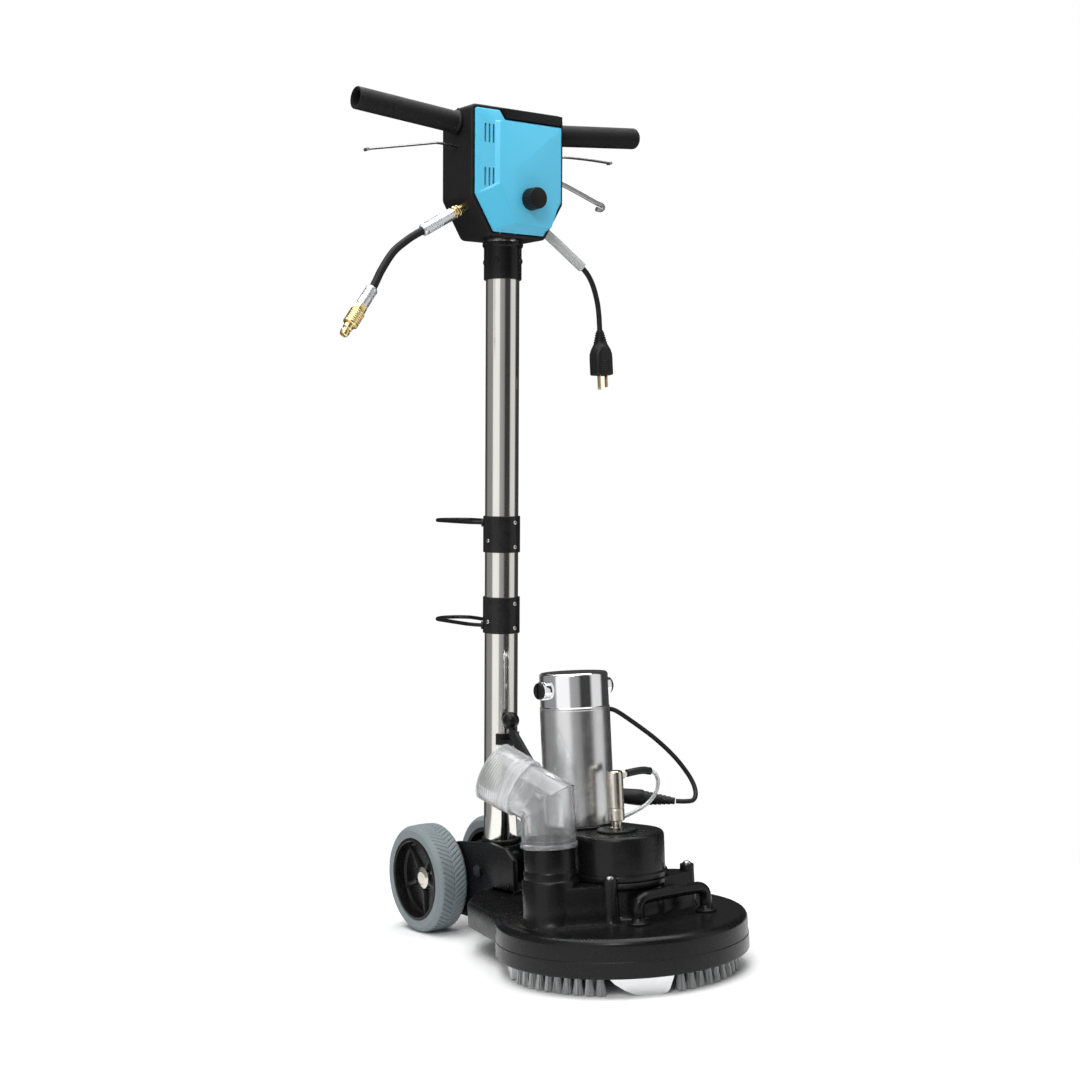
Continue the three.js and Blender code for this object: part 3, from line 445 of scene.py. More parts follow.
CHROME = finish(
    "chrome", (0.78, 0.78, 0.79), (0.84, 0.84, 0.85), 0.07, 0.03, 1.0, cloud=14,
    grain=[("noise", 120, (1, 1, 0.2), 0.035, 0.12)],
)
TUBE_CHROME = finish(
    "tube_chrome", (0.66, 0.64, 0.6), (0.76, 0.745, 0.71), 0.11, 0.04, 1.0, cloud=9,
    grain=[("noise", 60, (1, 1, 0.12), 0.05, 0.2), ("noise", 900, (1, 1, 0.08), 0.03, 0.03)],
)
BRUSHED = finish(
    "brushed_steel", (0.6, 0.6, 0.6), (0.69, 0.69, 0.69), 0.24, 0.05, 1.0, cloud=16,
    grain=[("noise", 160, (1, 1, 22), 0.2, 0.05), ("noise", 45, (1, 1, 40), 0.1, 0.05)],
    sockets={"Anisotropic": 0.5},
)
STEEL = finish(
    "machined_steel", (0.5, 0.5, 0.51), (0.6, 0.6, 0.6), 0.3, 0.08, 1.0, cloud=60,
    grain=[("noise", 1500, EVEN, 0.15, 0.05)],
)
BLADE = finish(
    "lever_steel", (0.26, 0.26, 0.265), (0.36, 0.36, 0.36), 0.26, 0.06, 1.0, cloud=50,
    grain=[("noise", 300, (0.1, 1, 1), 0.15, 0.05)],
)
NICKEL = finish(
    "nickel", (0.58, 0.54, 0.47), (0.66, 0.62, 0.55), 0.2, 0.06, 1.0, cloud=60,
    grain=[("noise", 900, EVEN, 0.1, 0.05)],
)
CRIMP = finish(
    "crimped_steel", (0.7, 0.71, 0.72), (0.8, 0.8, 0.81), 0.36, 0.06, 1.0, cloud=80,
    grain=[("noise", 400, EVEN, 0.03, 0.05)],
)
BRASS = finish(
    "brass", (0.8, 0.6, 0.26), (0.87, 0.7, 0.37), 0.22, 0.06, 1.0, cloud=70,
    grain=[("noise", 1300, EVEN, 0.1, 0.04)],
)
BRISTLE = finish(
    "bristle", (0.4, 0.405, 0.41), (0.66, 0.665, 0.67), 0.36, 0.08, 0.35, cloud=260,
    grain=[("noise", 2500, (1, 1, 0.1), 0.2, 0.05)],
)
CLEAR = finish(
    "clear_moulding", (0.95, 0.96, 0.965), (0.98, 0.985, 0.99), 0.1, 0.04, cloud=30,
    grain=[("noise", 90, EVEN, 0.02, 0.2)],
    sockets={"Transmission Weight": 0.93, "IOR": 1.36},
)
FROSTED = finish(
    "frosted_cuff", (0.93, 0.945, 0.95), (0.97, 0.975, 0.98), 0.18, 0.06, cloud=40,
    grain=[("noise", 120, EVEN, 0.02, 0.2)],
    sockets={"Transmission Weight": 0.84, "IOR": 1.3},
)
CLEAR_TUBE = finish(
    "clear_tube", (0.8, 0.82, 0.82), (0.88, 0.89, 0.89), 0.16, 0.05, cloud=80,
    grain=[("noise", 600, EVEN, 0.1, 0.1)],
    sockets={"Transmission Weight": 0.55, "IOR": 1.45},
)
LABEL = finish(
    "label_sleeve", (0.62, 0.64, 0.64), (0.74, 0.75, 0.75), 0.2, 0.06, cloud=120,
    grain=[("noise", 260, EVEN, 0.25, 0.3)],
    sockets={"Transmission Weight": 0.35, "IOR": 1.45},
)
ALLOY = finish(
    "turned_alloy", (0.55, 0.55, 0.57), (0.64, 0.64, 0.66), 0.34, 0.06, 1.0, cloud=60,
    grain=[("noise", 400, (1, 1, 12), 0.15, 0.04)],
)
BOARD = finish(
    "circuit_board", (0.02, 0.12, 0.035), (0.03, 0.17, 0.05), 0.4, 0.08, cloud=200,
    grain=[("cells", 500, EVEN, 0.4, 0.2)],
)


# Cords, on the routes that the CAD solids take
def cord(name, points, radius, count, place, look, body, nodes, slot):
    line = smooth_line(points, count)
    fine = smooth_line(points, count * 4)
    thing = piece(name, [tube(fine, radius, 16)], place, look, body, nodes, slot)
    return thing


HOSE_IN = Vector((-80, 195, 1029))
HOSE_WAY = Vector((-0.872, 0, -0.489)).normalized()
HOSE_PATH = [
    HOSE_IN + HOSE_WAY * 58, HOSE_IN + HOSE_WAY * 70.3, HOSE_IN + HOSE_WAY * 80,
    (-164, 195, 981), (-187, 195, 963), (-206, 195, 938), (-216, 195, 921), (-221.5, 195, 911.5),
    (-226, 195, 905),
]
COUPLER_TOP = Vector((-221.8, 195, 911))
COUPLER_WAY = Vector((-0.59, 0, -0.81)).normalized()
CORD_PATH = [
    (55, 195, 1017.6), (76, 195, 1003), (100, 195, 986), (132, 195, 962), (146, 195, 944),
    (154, 195, 920), (157, 195, 898), (157.5, 195, 870),
]
SLEEVE_PATH = [
    (64, 195, 1011.3), (82, 195, 999), (100, 195, 986), (118, 195, 972.8), (130, 195, 963.8),
]
STUB = (19.4, -1, 251)
WATER_PATH = [
    STUB, (30, -2, 252), (45, -3, 252.5), (57, -4, 250.2), (66, -4, 245), (72.5, 0, 232),
    (71, 6, 217), (61, 13, 204), (45, 19, 195.5), (31, 23, 190.5), (20.5, 24, 188.6),
]
CABLE_PATH = [
    (46.8, 71.2, 331.2), (58, 66, 327), (78, 54, 310), (105, 40, 285), (128, 28, 258), (142, 16, 231),
    (142, 6, 213), (132, -1, 203.5), (122, 3, 202), (111, 11.2, 202.8),
]
PLUG = (157.5, 195)


def hose_point(distance):
    return HOSE_IN + HOSE_WAY * distance


def make_hose():
    def ferrule(at, way, long, r, ridges):
        profile = [(5.5, 0), (r - 0.8, 0), (r, 0.8)]
        start, end = long * 0.42, long - 6
        step = (end - start) / ridges
        profile.append((r, start))
        for k in range(ridges):
            h = start + (end - start) * k / ridges
            profile += [(r - 1.1, h + step * 0.15), (r - 1.1, h + step * 0.55)]
            profile += [(r, h + step * 0.7), (r, h + step)]
        profile += [(r, long - 3), (r - 1.6, long - 0.5), (5.5, long), (5.4, long - 2), (5.4, 2)]
        return turned_on(profile, at, way, 40, closed=True)

    upper = piece(
        "hose_ferrule_crimped", [ferrule(hose_point(13.3), HOSE_WAY, 56.7, 8.6, 7)], HEAD, CRIMP,
        "column", ["hose_ferrule"], "nickel",
    )
    collar = piece(
        "coupler_ferrule", [ferrule(COUPLER_TOP + COUPLER_WAY * 31, -COUPLER_WAY, 31, 8.6, 4)], HEAD,
        CRIMP, "column", (), "nickel",
    )

    def at(d):
        return COUPLER_TOP + COUPLER_WAY * d

    knurl = [(0, 0), (9.4, 0), (10.5, 1)]
    for k in range(6):
        knurl += [(r, rise + 3 * k) for r, rise in ((10.5, 2), (9.8, 2.6), (9.8, 3.6), (10.5, 4.2))]
    knurl += [(10.5, 21.6), (9, 23), (0, 23)]
    nose = [
        (0, 0), (6.9, 0), (6.9, 7), (5.2, 8), (5.2, 10), (6.4, 11), (6.4, 14), (5.5, 17.6), (4, 18.6),
        (2.6, 18.6), (2.6, 12), (0, 12),
    ]
    coupler = piece(
        "quick_coupler",
        [
            moved(prism(polygon(6, 9.5), 0, 9.6), aim(at(31.4), COUPLER_WAY)),
            turned_on(knurl, at(40.8), COUPLER_WAY, 48),
            turned_on(nose, at(63.2), COUPLER_WAY, 40),
        ],
        HEAD, BRASS, "column", ["hose_coupler"], "brass", bevel=0.5,
    )
    piece(
        "brass_inlet",
        [
            between(hose_point(-16), hose_point(3), 5.5),
            moved(prism(polygon(6, 8.5), 0, 6), aim(hose_point(3), HOSE_WAY)),
            between(hose_point(8.6), hose_point(13.6), 6.4),
            between(hose_point(1), hose_point(3.4), 8.2),
        ],
        HEAD, BRASS, "column", ["inlet_fitting"], "brass", bevel=0.5,
    )
    cord(
        "solution_hose_line", HOSE_PATH, 5.4, 24, HEAD, RUBBER, "column", ["solution_hose"], "rubber",
    )


def make_mains_lead():
    x, y = PLUG
    foot, neck, thick = 807, 33, 12
    back = [(14.4, 0), (15.5, 1.2), (15.5, 24), (15, 31), (13.6, 37), (11.2, 42), (9.2, 46)]
    for k in range(5):
        h = 47.5 + k * 3.4
        r = 8.6 - k * 0.75
        back += [(r + 0.5, h), (r + 0.5, h + 1.5), (r - 0.7, h + 1.9), (r - 0.7, h + 3.1)]
    back.append((4.6, 65.6))
    loops = []
    for width, h in back:
        depth = min(width, thick if h < neck else width)
        corner = 7.5 if h < neck else width
        outline = [(-width, -depth), (width, -depth), (width, depth), (-width, depth)]
        loops.append([(x + a, y + b, foot + h) for a, b in round_corners(outline, corner, 4)])
    ridges = []
    for side in (-1, 1):
        for k in range(5):
            rib = between((-5.5, 0, 0), (5.5, 0, 0), 0.9, sides=12, edge=0.3)
            ridges.append(shifted(rib, (x, y + side * 11.8, 813 + k * 3.2)))
    body = piece("plug_moulding", [rings(loops), *ridges], HEAD, RUBBER, "column", ["mains_plug"],
                 "rubber", angle=45)
    blade = box(-0.75, 0.75, -3.2, 3.2, 0, 19)
    blades = [shifted(blade, (x + side * 6.4, y - 2, 789)) for side in (-1, 1)]
    ground = between((x, y + 7, 786), (x, y + 7, 808), 2.4, sides=24)
    pins = piece("plug_pins", [*blades, ground], HEAD, BRASS, "column", (), "brass", bevel=0.35)
    start = Vector(CORD_PATH[0])
    way = (Vector(CORD_PATH[1]) - start).normalized()
    start += way * 5.4
    relief = [(0, -4.6), (4.3, -4.6), (4.3, -1), (7.4, -1), (7.6, 1.6), (6.1, 2)]
    for k in range(6):
        h, r = 2 + 4 * k, 6.0 - 0.3 * k
        relief += [(r, h), (r, h + 2.2), (r - 0.7, h + 2.5), (r - 0.7, h + 3.7)]
    relief += [(4.2, 27), (0, 27)]
    boot = piece("strain_relief", [turned_on(relief, start, way, 32)], HEAD, RUBBER, "column", (), "rubber")
    sleeve = piece(
        "blank_label_sleeve", [tube(smooth_line(SLEEVE_PATH, 14), 7.0, 28, inner=6.5)], HEAD, LABEL,
        "column", ["cord_label_sleeve"], "clear_tube",
    )
    cord(
        "mains_lead", CORD_PATH, 3.9, 26, HEAD, RUBBER, "column", ["mains_cord"], "rubber",
    )


def make_head_lines():
    sleeve = on_chassis(
        "tube_rubber_sleeve", [tube(smooth_line(WATER_PATH[:4], 12), 5.0, 24, inner=3.0)], RUBBER,
        ["tube_sleeve"], "rubber",
    )
    cord(
        "water_line", WATER_PATH, 2.6, 28, HEAD, CLEAR_TUBE, "chassis", ["water_tube"], "clear_tube",
    )
    a, b = Vector((52, 60, 213)), Vector((110, 12, 203))
    way, long = (b - a).normalized(), (b - a).length
    profile = [(0, 0), (9.6, 0), (10, 1), (10.4, 10), (11, 24), (11, 31), (10.2, 33), (9.4, 33.2)]
    for k in range(6):
        h, r = 36 + 6 * k, 9.4 - 0.75 * k
        profile += [(r, h), (r, h + 3.4), (r - 1.0, h + 3.8), (r - 1.0, h + 5.4)]
    profile += [(4.6, long - 1), (4.2, long), (0, long)]
    joint = on_chassis(
        "cable_plug", [turned_on(profile, a, way, 40)], RUBBER, ["cable_connector"],
        "rubber",
    )
    seal = [(0, -2), (5.6, -2), (5.8, 0), (5.2, 3.5), (3.4, 4.2), (0, 4.2)]
    grommet = on_chassis(
        "motor_grommet", [turned_on(seal, (45.6, 71.8, 331.6), (0.93, -0.33, -0.12), 28)],
        RUBBER, (), "rubber",
    )
    cord(
        "motor_lead", CABLE_PATH, 3.2, 30, HEAD, RUBBER, "chassis", ["motor_cable"], "rubber",
    )


make_hose()
make_mains_lead()
make_head_lines()


# Head: deck, housing, cover
def racetrack(front, rear, offset=0.0, count=28):
    """The outline round two circles, the front one on the head's axis, the rear on the motor's."""
    tilt = math.asin((front - rear) / MOTOR_BACK)
    points = []
    for middle, r, start, sweep in (
        (0, front, math.pi - tilt, math.pi + 2 * tilt), (MOTOR_BACK, rear, tilt, math.pi - 2 * tilt)
    ):
        turn = [start + sweep * i / count for i in range(count + 1)]
        points += [(math.cos(a) * (r + offset), middle + math.sin(a) * (r + offset)) for a in turn]
    return points


def drum(front, rear, steps):
    """A racetrack wall whose outline grows or shrinks with height: steps of (offset, height)."""
    return rings([[(x, y, h) for x, y in racetrack(front, rear, o)] for o, h in steps])


def make_deck():
    section = [(24.3, 72), (150, 72), *arc(156, 63, 9, 90, 0, 10), (165.4, 45), (166, 44.2), (166, 27)]
    section += [*arc(163, 27, 3, 0, -90, 5), (160, 24), (160, 62), (156, 66), (24.3, 66)]
    front = 60
    outline = [(134, front), (134, 92), (105, 210), (60, 262)]
    outline = round_corners(outline + [(-x, y) for x, y in outline[::-1]], 22, 6)
    tongue = rings([
        [(x * wide, front + (y - front) * deep, h) for x, y in outline]
        for wide, deep, h in (
            (0.94, 0.965, 66), (0.94, 0.965, 38), (1, 1, 38), (1, 1, 67), (0.985, 0.99, 70.6),
            (0.97, 0.98, 71.9),
        )
    ])
    ribs = [
        moved(box(60, 158, -2, 2, 54, 66.2), Matrix.Rotation(math.radians(a), 4, "Z"))
        for a in range(20, 380, 45)
    ]
    on_chassis("deck_shell", [lathe(section, 160, closed=True), tongue, *ribs], PLASTIC,
               ["deck_housing"], "black_plastic")


SCREW_POSTS = ((-50, -46), (85, -37))
POST_TOP = 128
BRIDGE = [(-127, -14), (-53, -50), (-40, -45), (0, 0), (-40, 60), (-101, 49)]
EAR = [(20, -56), (83, -47), (95, -40), (95, -33), (88, -27), (50, 20)]


def grown(outline, by):
    """The outline moved outward by a distance, corner by corner."""
    n = len(outline)
    made = []
    for i in range(n):
        a, p, b = (Vector(outline[(i + k) % n]) for k in (-1, 0, 1))
        u, v = (p - a).normalized(), (b - p).normalized()
        out = Vector((u.y, -u.x)) + Vector((v.y, -v.x))
        made.append(p + out * (by / max(out.length_squared / 2, 0.5)))
    return [(q.x, q.y) for q in made]


def make_housing():
    wall = drum(60, 50, [
        (11, 72.1), (6, 72.9), (3, 74.8), (1.2, 78), (0.4, 84), (0, 108), (0.4, 110), (3.4, 112.5),
        (3.8, 113.5), (3.8, 118.6), (2.8, 119.9), (-8, 119.9), (-8, 100),
    ])
    post = [
        (0, 72), (16, 72), (12.6, 73.6), (10.8, 77), (9.9, 84), (9.5, 110), (9.5, 126.5), (8.6, POST_TOP),
        (0, POST_TOP),
    ]
    shapes = [wall, *[shifted(lathe(post, 40), (x, y, 0)) for x, y in SCREW_POSTS]]
    tower = [
        (28, 62), (46, 72.1), (41, 73.4), (38.6, 76.4), (37.4, 82), (37, 90), (37, 126), (36, 128),
        (34.6, 129.4),
        (34.5, 131), (34.5, 137.6), (33.8, 139.4), (33, 140.4), (33, 166), (32, 168.7), (30.3, 169),
        (30.3, 179),
        (29.4, 180), (28, 180),
    ]
    shapes.append(shifted(lathe(tower, 80, closed=True), PORT))
    for outline in (BRIDGE, EAR):
        steps = [(7, 72.1), (3.4, 73.4), (1.4, 76), (0.4, 82), (0, 90), (0, 116.5), (-1.2, 119), (-3, 119.9)]
        walls = [[(x, y, h) for x, y in round_corners(grown(outline, w), 9, 4)] for w, h in steps]
        shapes.append(rings(walls))
    on_chassis("housing_shell", shapes, PLASTIC, ["upper_housing"], "black_plastic")
    screws = []
    for x, y in SCREW_POSTS:
        screws += button_screw((x, y, POST_TOP), (0, 0, 1), 5.6, 3.4)
    on_chassis("housing_screws", screws, STEEL, (), "steel", bevel=0.2)


def make_cover():
    shell = drum(61.4, 52, [
        (-4, 120.3), (0, 120.3), (0, 171.5), (-0.5, 174), (-1.8, 176.2), (-4, 177.5), (-7, 177.7),
        (-16, 177.7),
    ])
    lip = drum(61.4, 52, [(0, 120.3), (2.2, 121), (2.6, 122), (2.6, 127), (1.8, 128.4), (0, 129)])
    seat = [(0, 177), (49, 177), (49.4, 178), (49.4, 180), (48.4, 181), (0, 181)]
    ring = shifted(lathe(seat, 80), (0, MOTOR_BACK, 0))
    washer = lathe([(4, 177), (26, 177), (27, 178), (27, 179.8), (26, 180.7), (4, 180.7)], 64)
    barb = lathe([(0, 177), (4.6, 177), (4.6, 181), (3.2, 182), (3.2, 186), (0, 186.7)], 24)
    nozzle = between((20, 24, 187.4), (14, 24.4, 187.4), 3.4, 3.0, 20)
    cheek = [(134, 148), (156, 148), (156, 216), (150, 224), (141, 224), (134, 214)]
    cheeks = [side_on(round_corners(cheek, 5), a, b) for a, b in ((-18, -11.5), (-4.5, 2))]
    block = box(-18, 2, 130, 144, 149, 171)
    on_chassis("belt_cover_shell", [shell, lip, ring, washer, block, *cheeks], PLASTIC,
               ["belt_cover"], "black_plastic")
    pin = between((-20.5, 149, 215), (4.5, 149, 215), 4, sides=24)
    ends = [s for x, w in ((-18, -1), (2, 1)) for s in button_screw((x, 149, 215), (w, 0, 0), 6.4, 3.0)]
    on_chassis("clevis_pin", [pin, *ends], STEEL, (), "steel")
    on_chassis("water_barb", [shifted(barb, (20, 24, 0)), nozzle], NICKEL, (), "nickel")


make_deck()
make_housing()
make_cover()


# Motor, swivel, lift handle
def make_motor():
    foot, sockets_at = Vector((0, MOTOR_BACK, 0)), 362
    shell = [
        (0, 181.3), (47, 181.3), (47.5, 182), (47.5, 334.5), (47.0, 335), (47.0, 336), (47.5, 336.5),
        (47.5, 337.5), (47, 338), (43.5, 338), (43.5, 187), (0, 187),
    ]
    on_chassis("motor_can", [shifted(lathe(shell, 128), foot)], BRUSHED, ["motor_shell"], "brushed")
    cap = [
        (0, 384), (38, 384), *arc(42.3, 379.8, 4.2, 90, 0, 8), (46.5, 379), (46.5, 339), (46, 338.3),
        (35, 338.3), (35, 378), (0, 378),
    ]
    socket = [(9.4, 12), (9.4, 26), (11.6, 26), (12.5, 25.2), (12.5, 0), (9.4, 0)]
    sockets = [
        turned_on(socket, (side * 30, MOTOR_BACK, sockets_at), (side, 0, 0), 48, closed=True)
        for side in (-1, 1)
    ]
    on_chassis("motor_cap", [shifted(lathe(cap, 128), foot), *sockets], CHROME, ["motor_end_cap"], "chrome")
    holder = [
        (0, 0), (9, 0), (9, 11.2), (10.4, 11.2), (11, 11.9), (11, 14.6), (10, 15.5), (0, 15.5),
    ]
    driver_slot = box(-12, 12, -1.5, 1.5, 13.4, 17)
    for side, word in ((-1, "left"), (1, "right")):
        out = aim((side * 44.5, MOTOR_BACK, sockets_at), (side, 0, 0))
        on_chassis("brush_holder_" + word, [moved(lathe(holder, 40), out)], PLASTIC,
                   ["brush_cap_" + word], "black_plastic", cuts=[moved(driver_slot, out)])


def make_swivel():
    body = [
        (0, 181), (9, 181), (9, 182.6), (7, 183.4), (7, 190.6), (9.6, 191.4), (11, 192.4), (11, 206),
        (10.6, 206.6),
        (10.6, 208), (11, 208.6), (11, 253.4), (10.2, 255.4), (8.6, 256.4), (0, 256.5),
    ]
    stub = between((8, -0.6, 250.3), (19.2, -1, 251), 4.2, 3.4, 24)
    nut = moved(prism(polygon(6, 6.2), 0, 4.6), aim((9.6, -0.6, 250.4), (13, -0.5, 1)))
    on_chassis("swivel_body", [lathe(body, 56), stub, nut], NICKEL, ["water_swivel"], "nickel")


def make_lift_handle():
    left, right, y = -31, 81, -77
    climb = [(0, 74), (0, 82), (0, 91), (2.6, 98.5), (9, 102.8), (18, 104)]
    path = [(left + x, y, h) for x, h in climb] + [(25, y, 104.6)]
    path += [(right - x, y, h) for x, h in climb[::-1]]
    foot = [
        (0, 72.3), (13.6, 72.3), (14, 72.9), (14, 74.4), (13, 75.4), (10.4, 75.8), (9, 77.4), (7.8, 80),
        (0, 80),
    ]
    feet = [shifted(lathe(foot, 48), (x, y, 0)) for x in (left, right)]
    on_chassis("carry_handle", [tube(smooth_line(path, 90), 7.8, 28), *feet], PAINT,
               ["lift_handle"], "painted")


make_motor()
make_swivel()
make_lift_handle()


# Rear yoke, axle, wheels
def make_yoke():
    outline = [
        (196, 72.3), (262.6, 72.3), (262.6, 25), (388, 25), (402, 45), (404, 82), (396, 112), (345, 131),
        (258, 138), (215, 134), (196, 120),
    ]
    outline = round_corners(outline, 6, 3)
    shapes = [side_on(outline, a, b) for a, b in ((28, 36), (-36, -28))]
    shapes += [box(-36, 36, 196, 250, 72.3, 78), box(-29, 29, 340, 346, 25, 60)]
    on_chassis("yoke_frame", shapes, PAINT, ["rear_yoke"], "painted", bevel=0.9)
    bolts = [between(PIVOT - Vector((39.6, 0, 0)), PIVOT + Vector((41, 0, 0)), 6, sides=32)]
    for side in (-1, 1):
        out = Vector((side, 0, 0))
        bolts.append(moved(prism(polygon(6, 9.6), 0, 5.4), aim(PIVOT + out * 36.2, out)))
        bolts.append(turned_on([(0, 0), (12, 0), (12, 0.8), (0, 0.8)], PIVOT + out * 36, out, 36))
        for y, z in ((210, 82), (300, 50), (372, 50)):
            bolts += button_screw((side * 36, y, z), out, 4.6, 2.8)
    on_chassis("yoke_bolts", bolts, PAINT, ["pivot_pin"], "steel", bevel=0.35)
    half = [(0, -75), (9, -75), (10, -74.2), (13.6, -73.6), (16, -72.4), (16, -69.3), (8, -69.3)]
    profile = half + [(r, -h) for r, h in half[::-1]]
    on_chassis("axle_shaft", [turned_on(profile, AXLE, (1, 0, 0), 48)], NICKEL, ["wheel_axle"], "chrome")


WHEEL_OUT = 63.5


def tyre_shape():
    """A solid tyre about the X axis, with chevron grooves across the tread."""
    around, across, grooves = 512, 41, 64
    half, radius = 24.5, 78
    section = []
    for k in range(across):
        t = -1 + 2 * k / (across - 1)
        shoulder = max(0, (abs(t) - 0.66) / 0.34)
        section.append((radius - 1.4 * t**2 - 6.4 * shoulder**2, t * half, t))
    walls = [(70.6, half), (66, 24.1), (60.2, 23.4)]
    walls += [(r, -x) for r, x in walls[::-1]]
    loops = []
    for i in range(around):
        angle = 2 * math.pi * i / around
        ring = []
        for r, x, t in section:
            run = (i / around * grooves + abs(t) * 2.1) % 1
            cut = 1.1 if (run < 0.25 and abs(t) < 0.74) or abs(t) <= 0.03 else 0
            ring.append((r - cut, x))
        loops.append([(x, r * math.cos(angle), r * math.sin(angle)) for r, x in ring + walls])
    return rings(loops, closed=True)


def make_wheel(side, word):
    body = "wheel_" + word
    at = AXLE + Vector((side * WHEEL_OUT, 0, 0))
    out = aim(at, (side, 0, 0))
    piece("tyre_tread_" + word, [shifted(tyre_shape(), at)], HEAD, TYRE, body, ["tyre_" + word], "tyre",
          angle=30)
    rim = [
        (8.3, -23), (16, -23), (20, -20), (20, 0), (52, 2), (54, 0), (54, -24), (60, -24), (60, 24),
        (58.6, 24.6), (56, 24.6), (54.6, 23.4), (53.2, 9), (50, 6.4), (22, 4.6), (18, 4.8), (17, 4.2),
        (8.3, 4.2),
    ]
    spoke = rings([
        [(y, z, x) for y, z in ((-a, 17.6), (a, 17.6), (a * 0.8, 54.6), (-a * 0.8, 54.6))]
        for a, x in ((4.6, 3), (4.2, 7.6), (3.2, 9.6), (2.2, 10))
    ])
    shapes = [moved(lathe(rim, 96, closed=True), out)]
    for angle in circle(5):
        shapes.append(moved(spoke, out @ Matrix.Rotation(angle + 0.35, 4, "Z")))
    piece("rim_spokes_" + word, shapes, HEAD, PLASTIC, body, ["rim_" + word], "black_plastic")


make_yoke()
for side, word in ((-1, "left"), (1, "right")):
    make_wheel(side, word)


# Rotating head: bristles and shoes
SHOE_START = 241.5


def make_bristles():
    dice = random.Random(7)
    points, faces = [], []
    corners = circle(3)

    def strand(foot, tip, r):
        base = len(points)
        middle = foot.lerp(tip, 0.55) + Vector((tip.x - foot.x, tip.y - foot.y, 0)) * -0.12
        for p, w in ((foot, r), (middle, r), (tip, r * 0.75)):
            points.extend(p + Vector((math.cos(a) * w, math.sin(a) * w, 0)) for a in corners)
        for low in (base, base + 3):
            for k in range(3):
                after = (k + 1) % 3
                faces.append((low + k, low + after, low + 3 + after, low + 3 + k))
        faces.append((base + 6, base + 7, base + 8))

    for sector in range(4):
        middle = SHOE_START + 45 + 90 * sector
        for radius, spacing in ((147, 13.5), (122, 14.5)):
            half = 28 if radius > 130 else 22
            count = int(math.radians(2 * half) * radius / spacing)
            for i in range(count):
                a = math.radians(middle - half + 2 * half * (i + 0.5) / count)
                out = Vector((math.cos(a), math.sin(a), 0))
                along = Vector((-out.y, out.x, 0))
                centre = out * radius
                lean = dice.uniform(-1.0, 1.0)
                for _ in range(90):
                    turn, far = dice.uniform(0, 2 * math.pi), math.sqrt(dice.random())
                    spot = out * math.cos(turn) * far + along * math.sin(turn) * far
                    foot = centre + spot * 3.0 + Vector((0, 0, 29))
                    tip = centre + spot * 7.2 + along * lean + Vector((0, 0, dice.uniform(0.1, 2.2)))
                    strand(foot, tip, 0.5)
    piece("bristle_tufts", [(points, faces)], HEAD, BRISTLE, "brush_head", ["brush_ring"], "bristle")


def make_shoes():
    backing = lathe([(56, 28.4), (154.4, 28.4), (155, 29), (155, 33.7), (56, 33.7)], 120, closed=True)
    piece("brush_backing", [backing], HEAD, PLASTIC, "brush_head", (), "black_plastic")
    outline = [
        (-43, 27.7), (-41, 24.5), (-34, 6), (-31, 2), (-24, 0.2), (-14, 0), (3, 0), (9, 1.2), (22, 7.4),
        (34, 15.6), (42, 24), (44, 27.7),
    ]
    throat = [(-24, 28.5), (-18, 8), (-14, -1), (-4, -1), (6, 10), (16, 28.5)]
    for i in range(4):
        turn = Matrix.Rotation(math.radians(SHOE_START - 90 + 90 * i), 4, "Z")
        shell, bore = (moved(shape, turn) for shape in (face_on(outline, 58, 150), face_on(throat, 64, 147)))
        piece("suction_shoe_%d" % (i + 1), [shell], HEAD, CRIMP, "brush_head", ["vacuum_shoe_%d" % (i + 1)],
              "brushed", bevel=1.4, cuts=[bore])


make_bristles()
make_shoes()


# Clear elbow and cuff
ELBOW_WAY = Vector((-0.4, 0.8, 0.436)).normalized()
ELBOW_BEND = PORT + Vector((0, 0, 226))


def mitred(low, end, radius):
    """Rings up the port and out along the cuff, with one ring in the plane of the mitre."""
    up = Vector((0, 0, 1))
    crease = (up + ELBOW_WAY).normalized()
    flank = up.cross(ELBOW_WAY).normalized()
    turn = circle(80)
    loops = []
    for at, way in (
        (PORT + up * low, up), (ELBOW_BEND - up * 30, up), (ELBOW_BEND - up * 26, up), (ELBOW_BEND, crease),
        (ELBOW_BEND + ELBOW_WAY * 26, ELBOW_WAY), (ELBOW_BEND + ELBOW_WAY * 30, ELBOW_WAY),
        (ELBOW_BEND + ELBOW_WAY * end, ELBOW_WAY),
    ):
        other = way.cross(flank)
        long = radius / crease.dot(up) if way is crease else radius
        loops.append([at + flank * math.cos(t) * radius + other * math.sin(t) * long for t in turn])
    return loops


def make_elbow():
    low, end = 169.4, 56
    pipe = rings(mitred(low, end, 35.4) + mitred(low, end, 32.2)[::-1], closed=True)
    bead = [(32.4, low), (36.6, low), (37.3, 170.2), (37.3, 174), (36.6, 175), (35.2, 175.6), (32.4, 175.6)]
    lip = shifted(lathe(bead, 80, closed=True), PORT)
    piece("elbow_tube", [pipe, lip], HEAD, CLEAR, "elbow_body", ["vacuum_elbow"], "clear")
    profile = [(35.8, 36), (38, 36), (38.4, 37), (38.4, 41), (37.6, 42), (37.6, 44), (38.4, 45), (38.4, 50)]
    h = 50.5
    while h < 84:
        profile += [(38.3, h), (39.7, h + 0.7), (39.7, h + 1.9), (38.3, h + 2.6)]
        h += 3.3
    profile += [(38.4, 84.5), (39.4, 85.4), (38.8, 86), (34.6, 86), (34.6, 56.4), (35.8, 56.4)]
    piece("ribbed_cuff", [turned_on(profile, ELBOW_BEND, ELBOW_WAY, 96, closed=True)], HEAD, FROSTED,
          "elbow_body", ["vacuum_cuff"], "clear")


make_elbow()


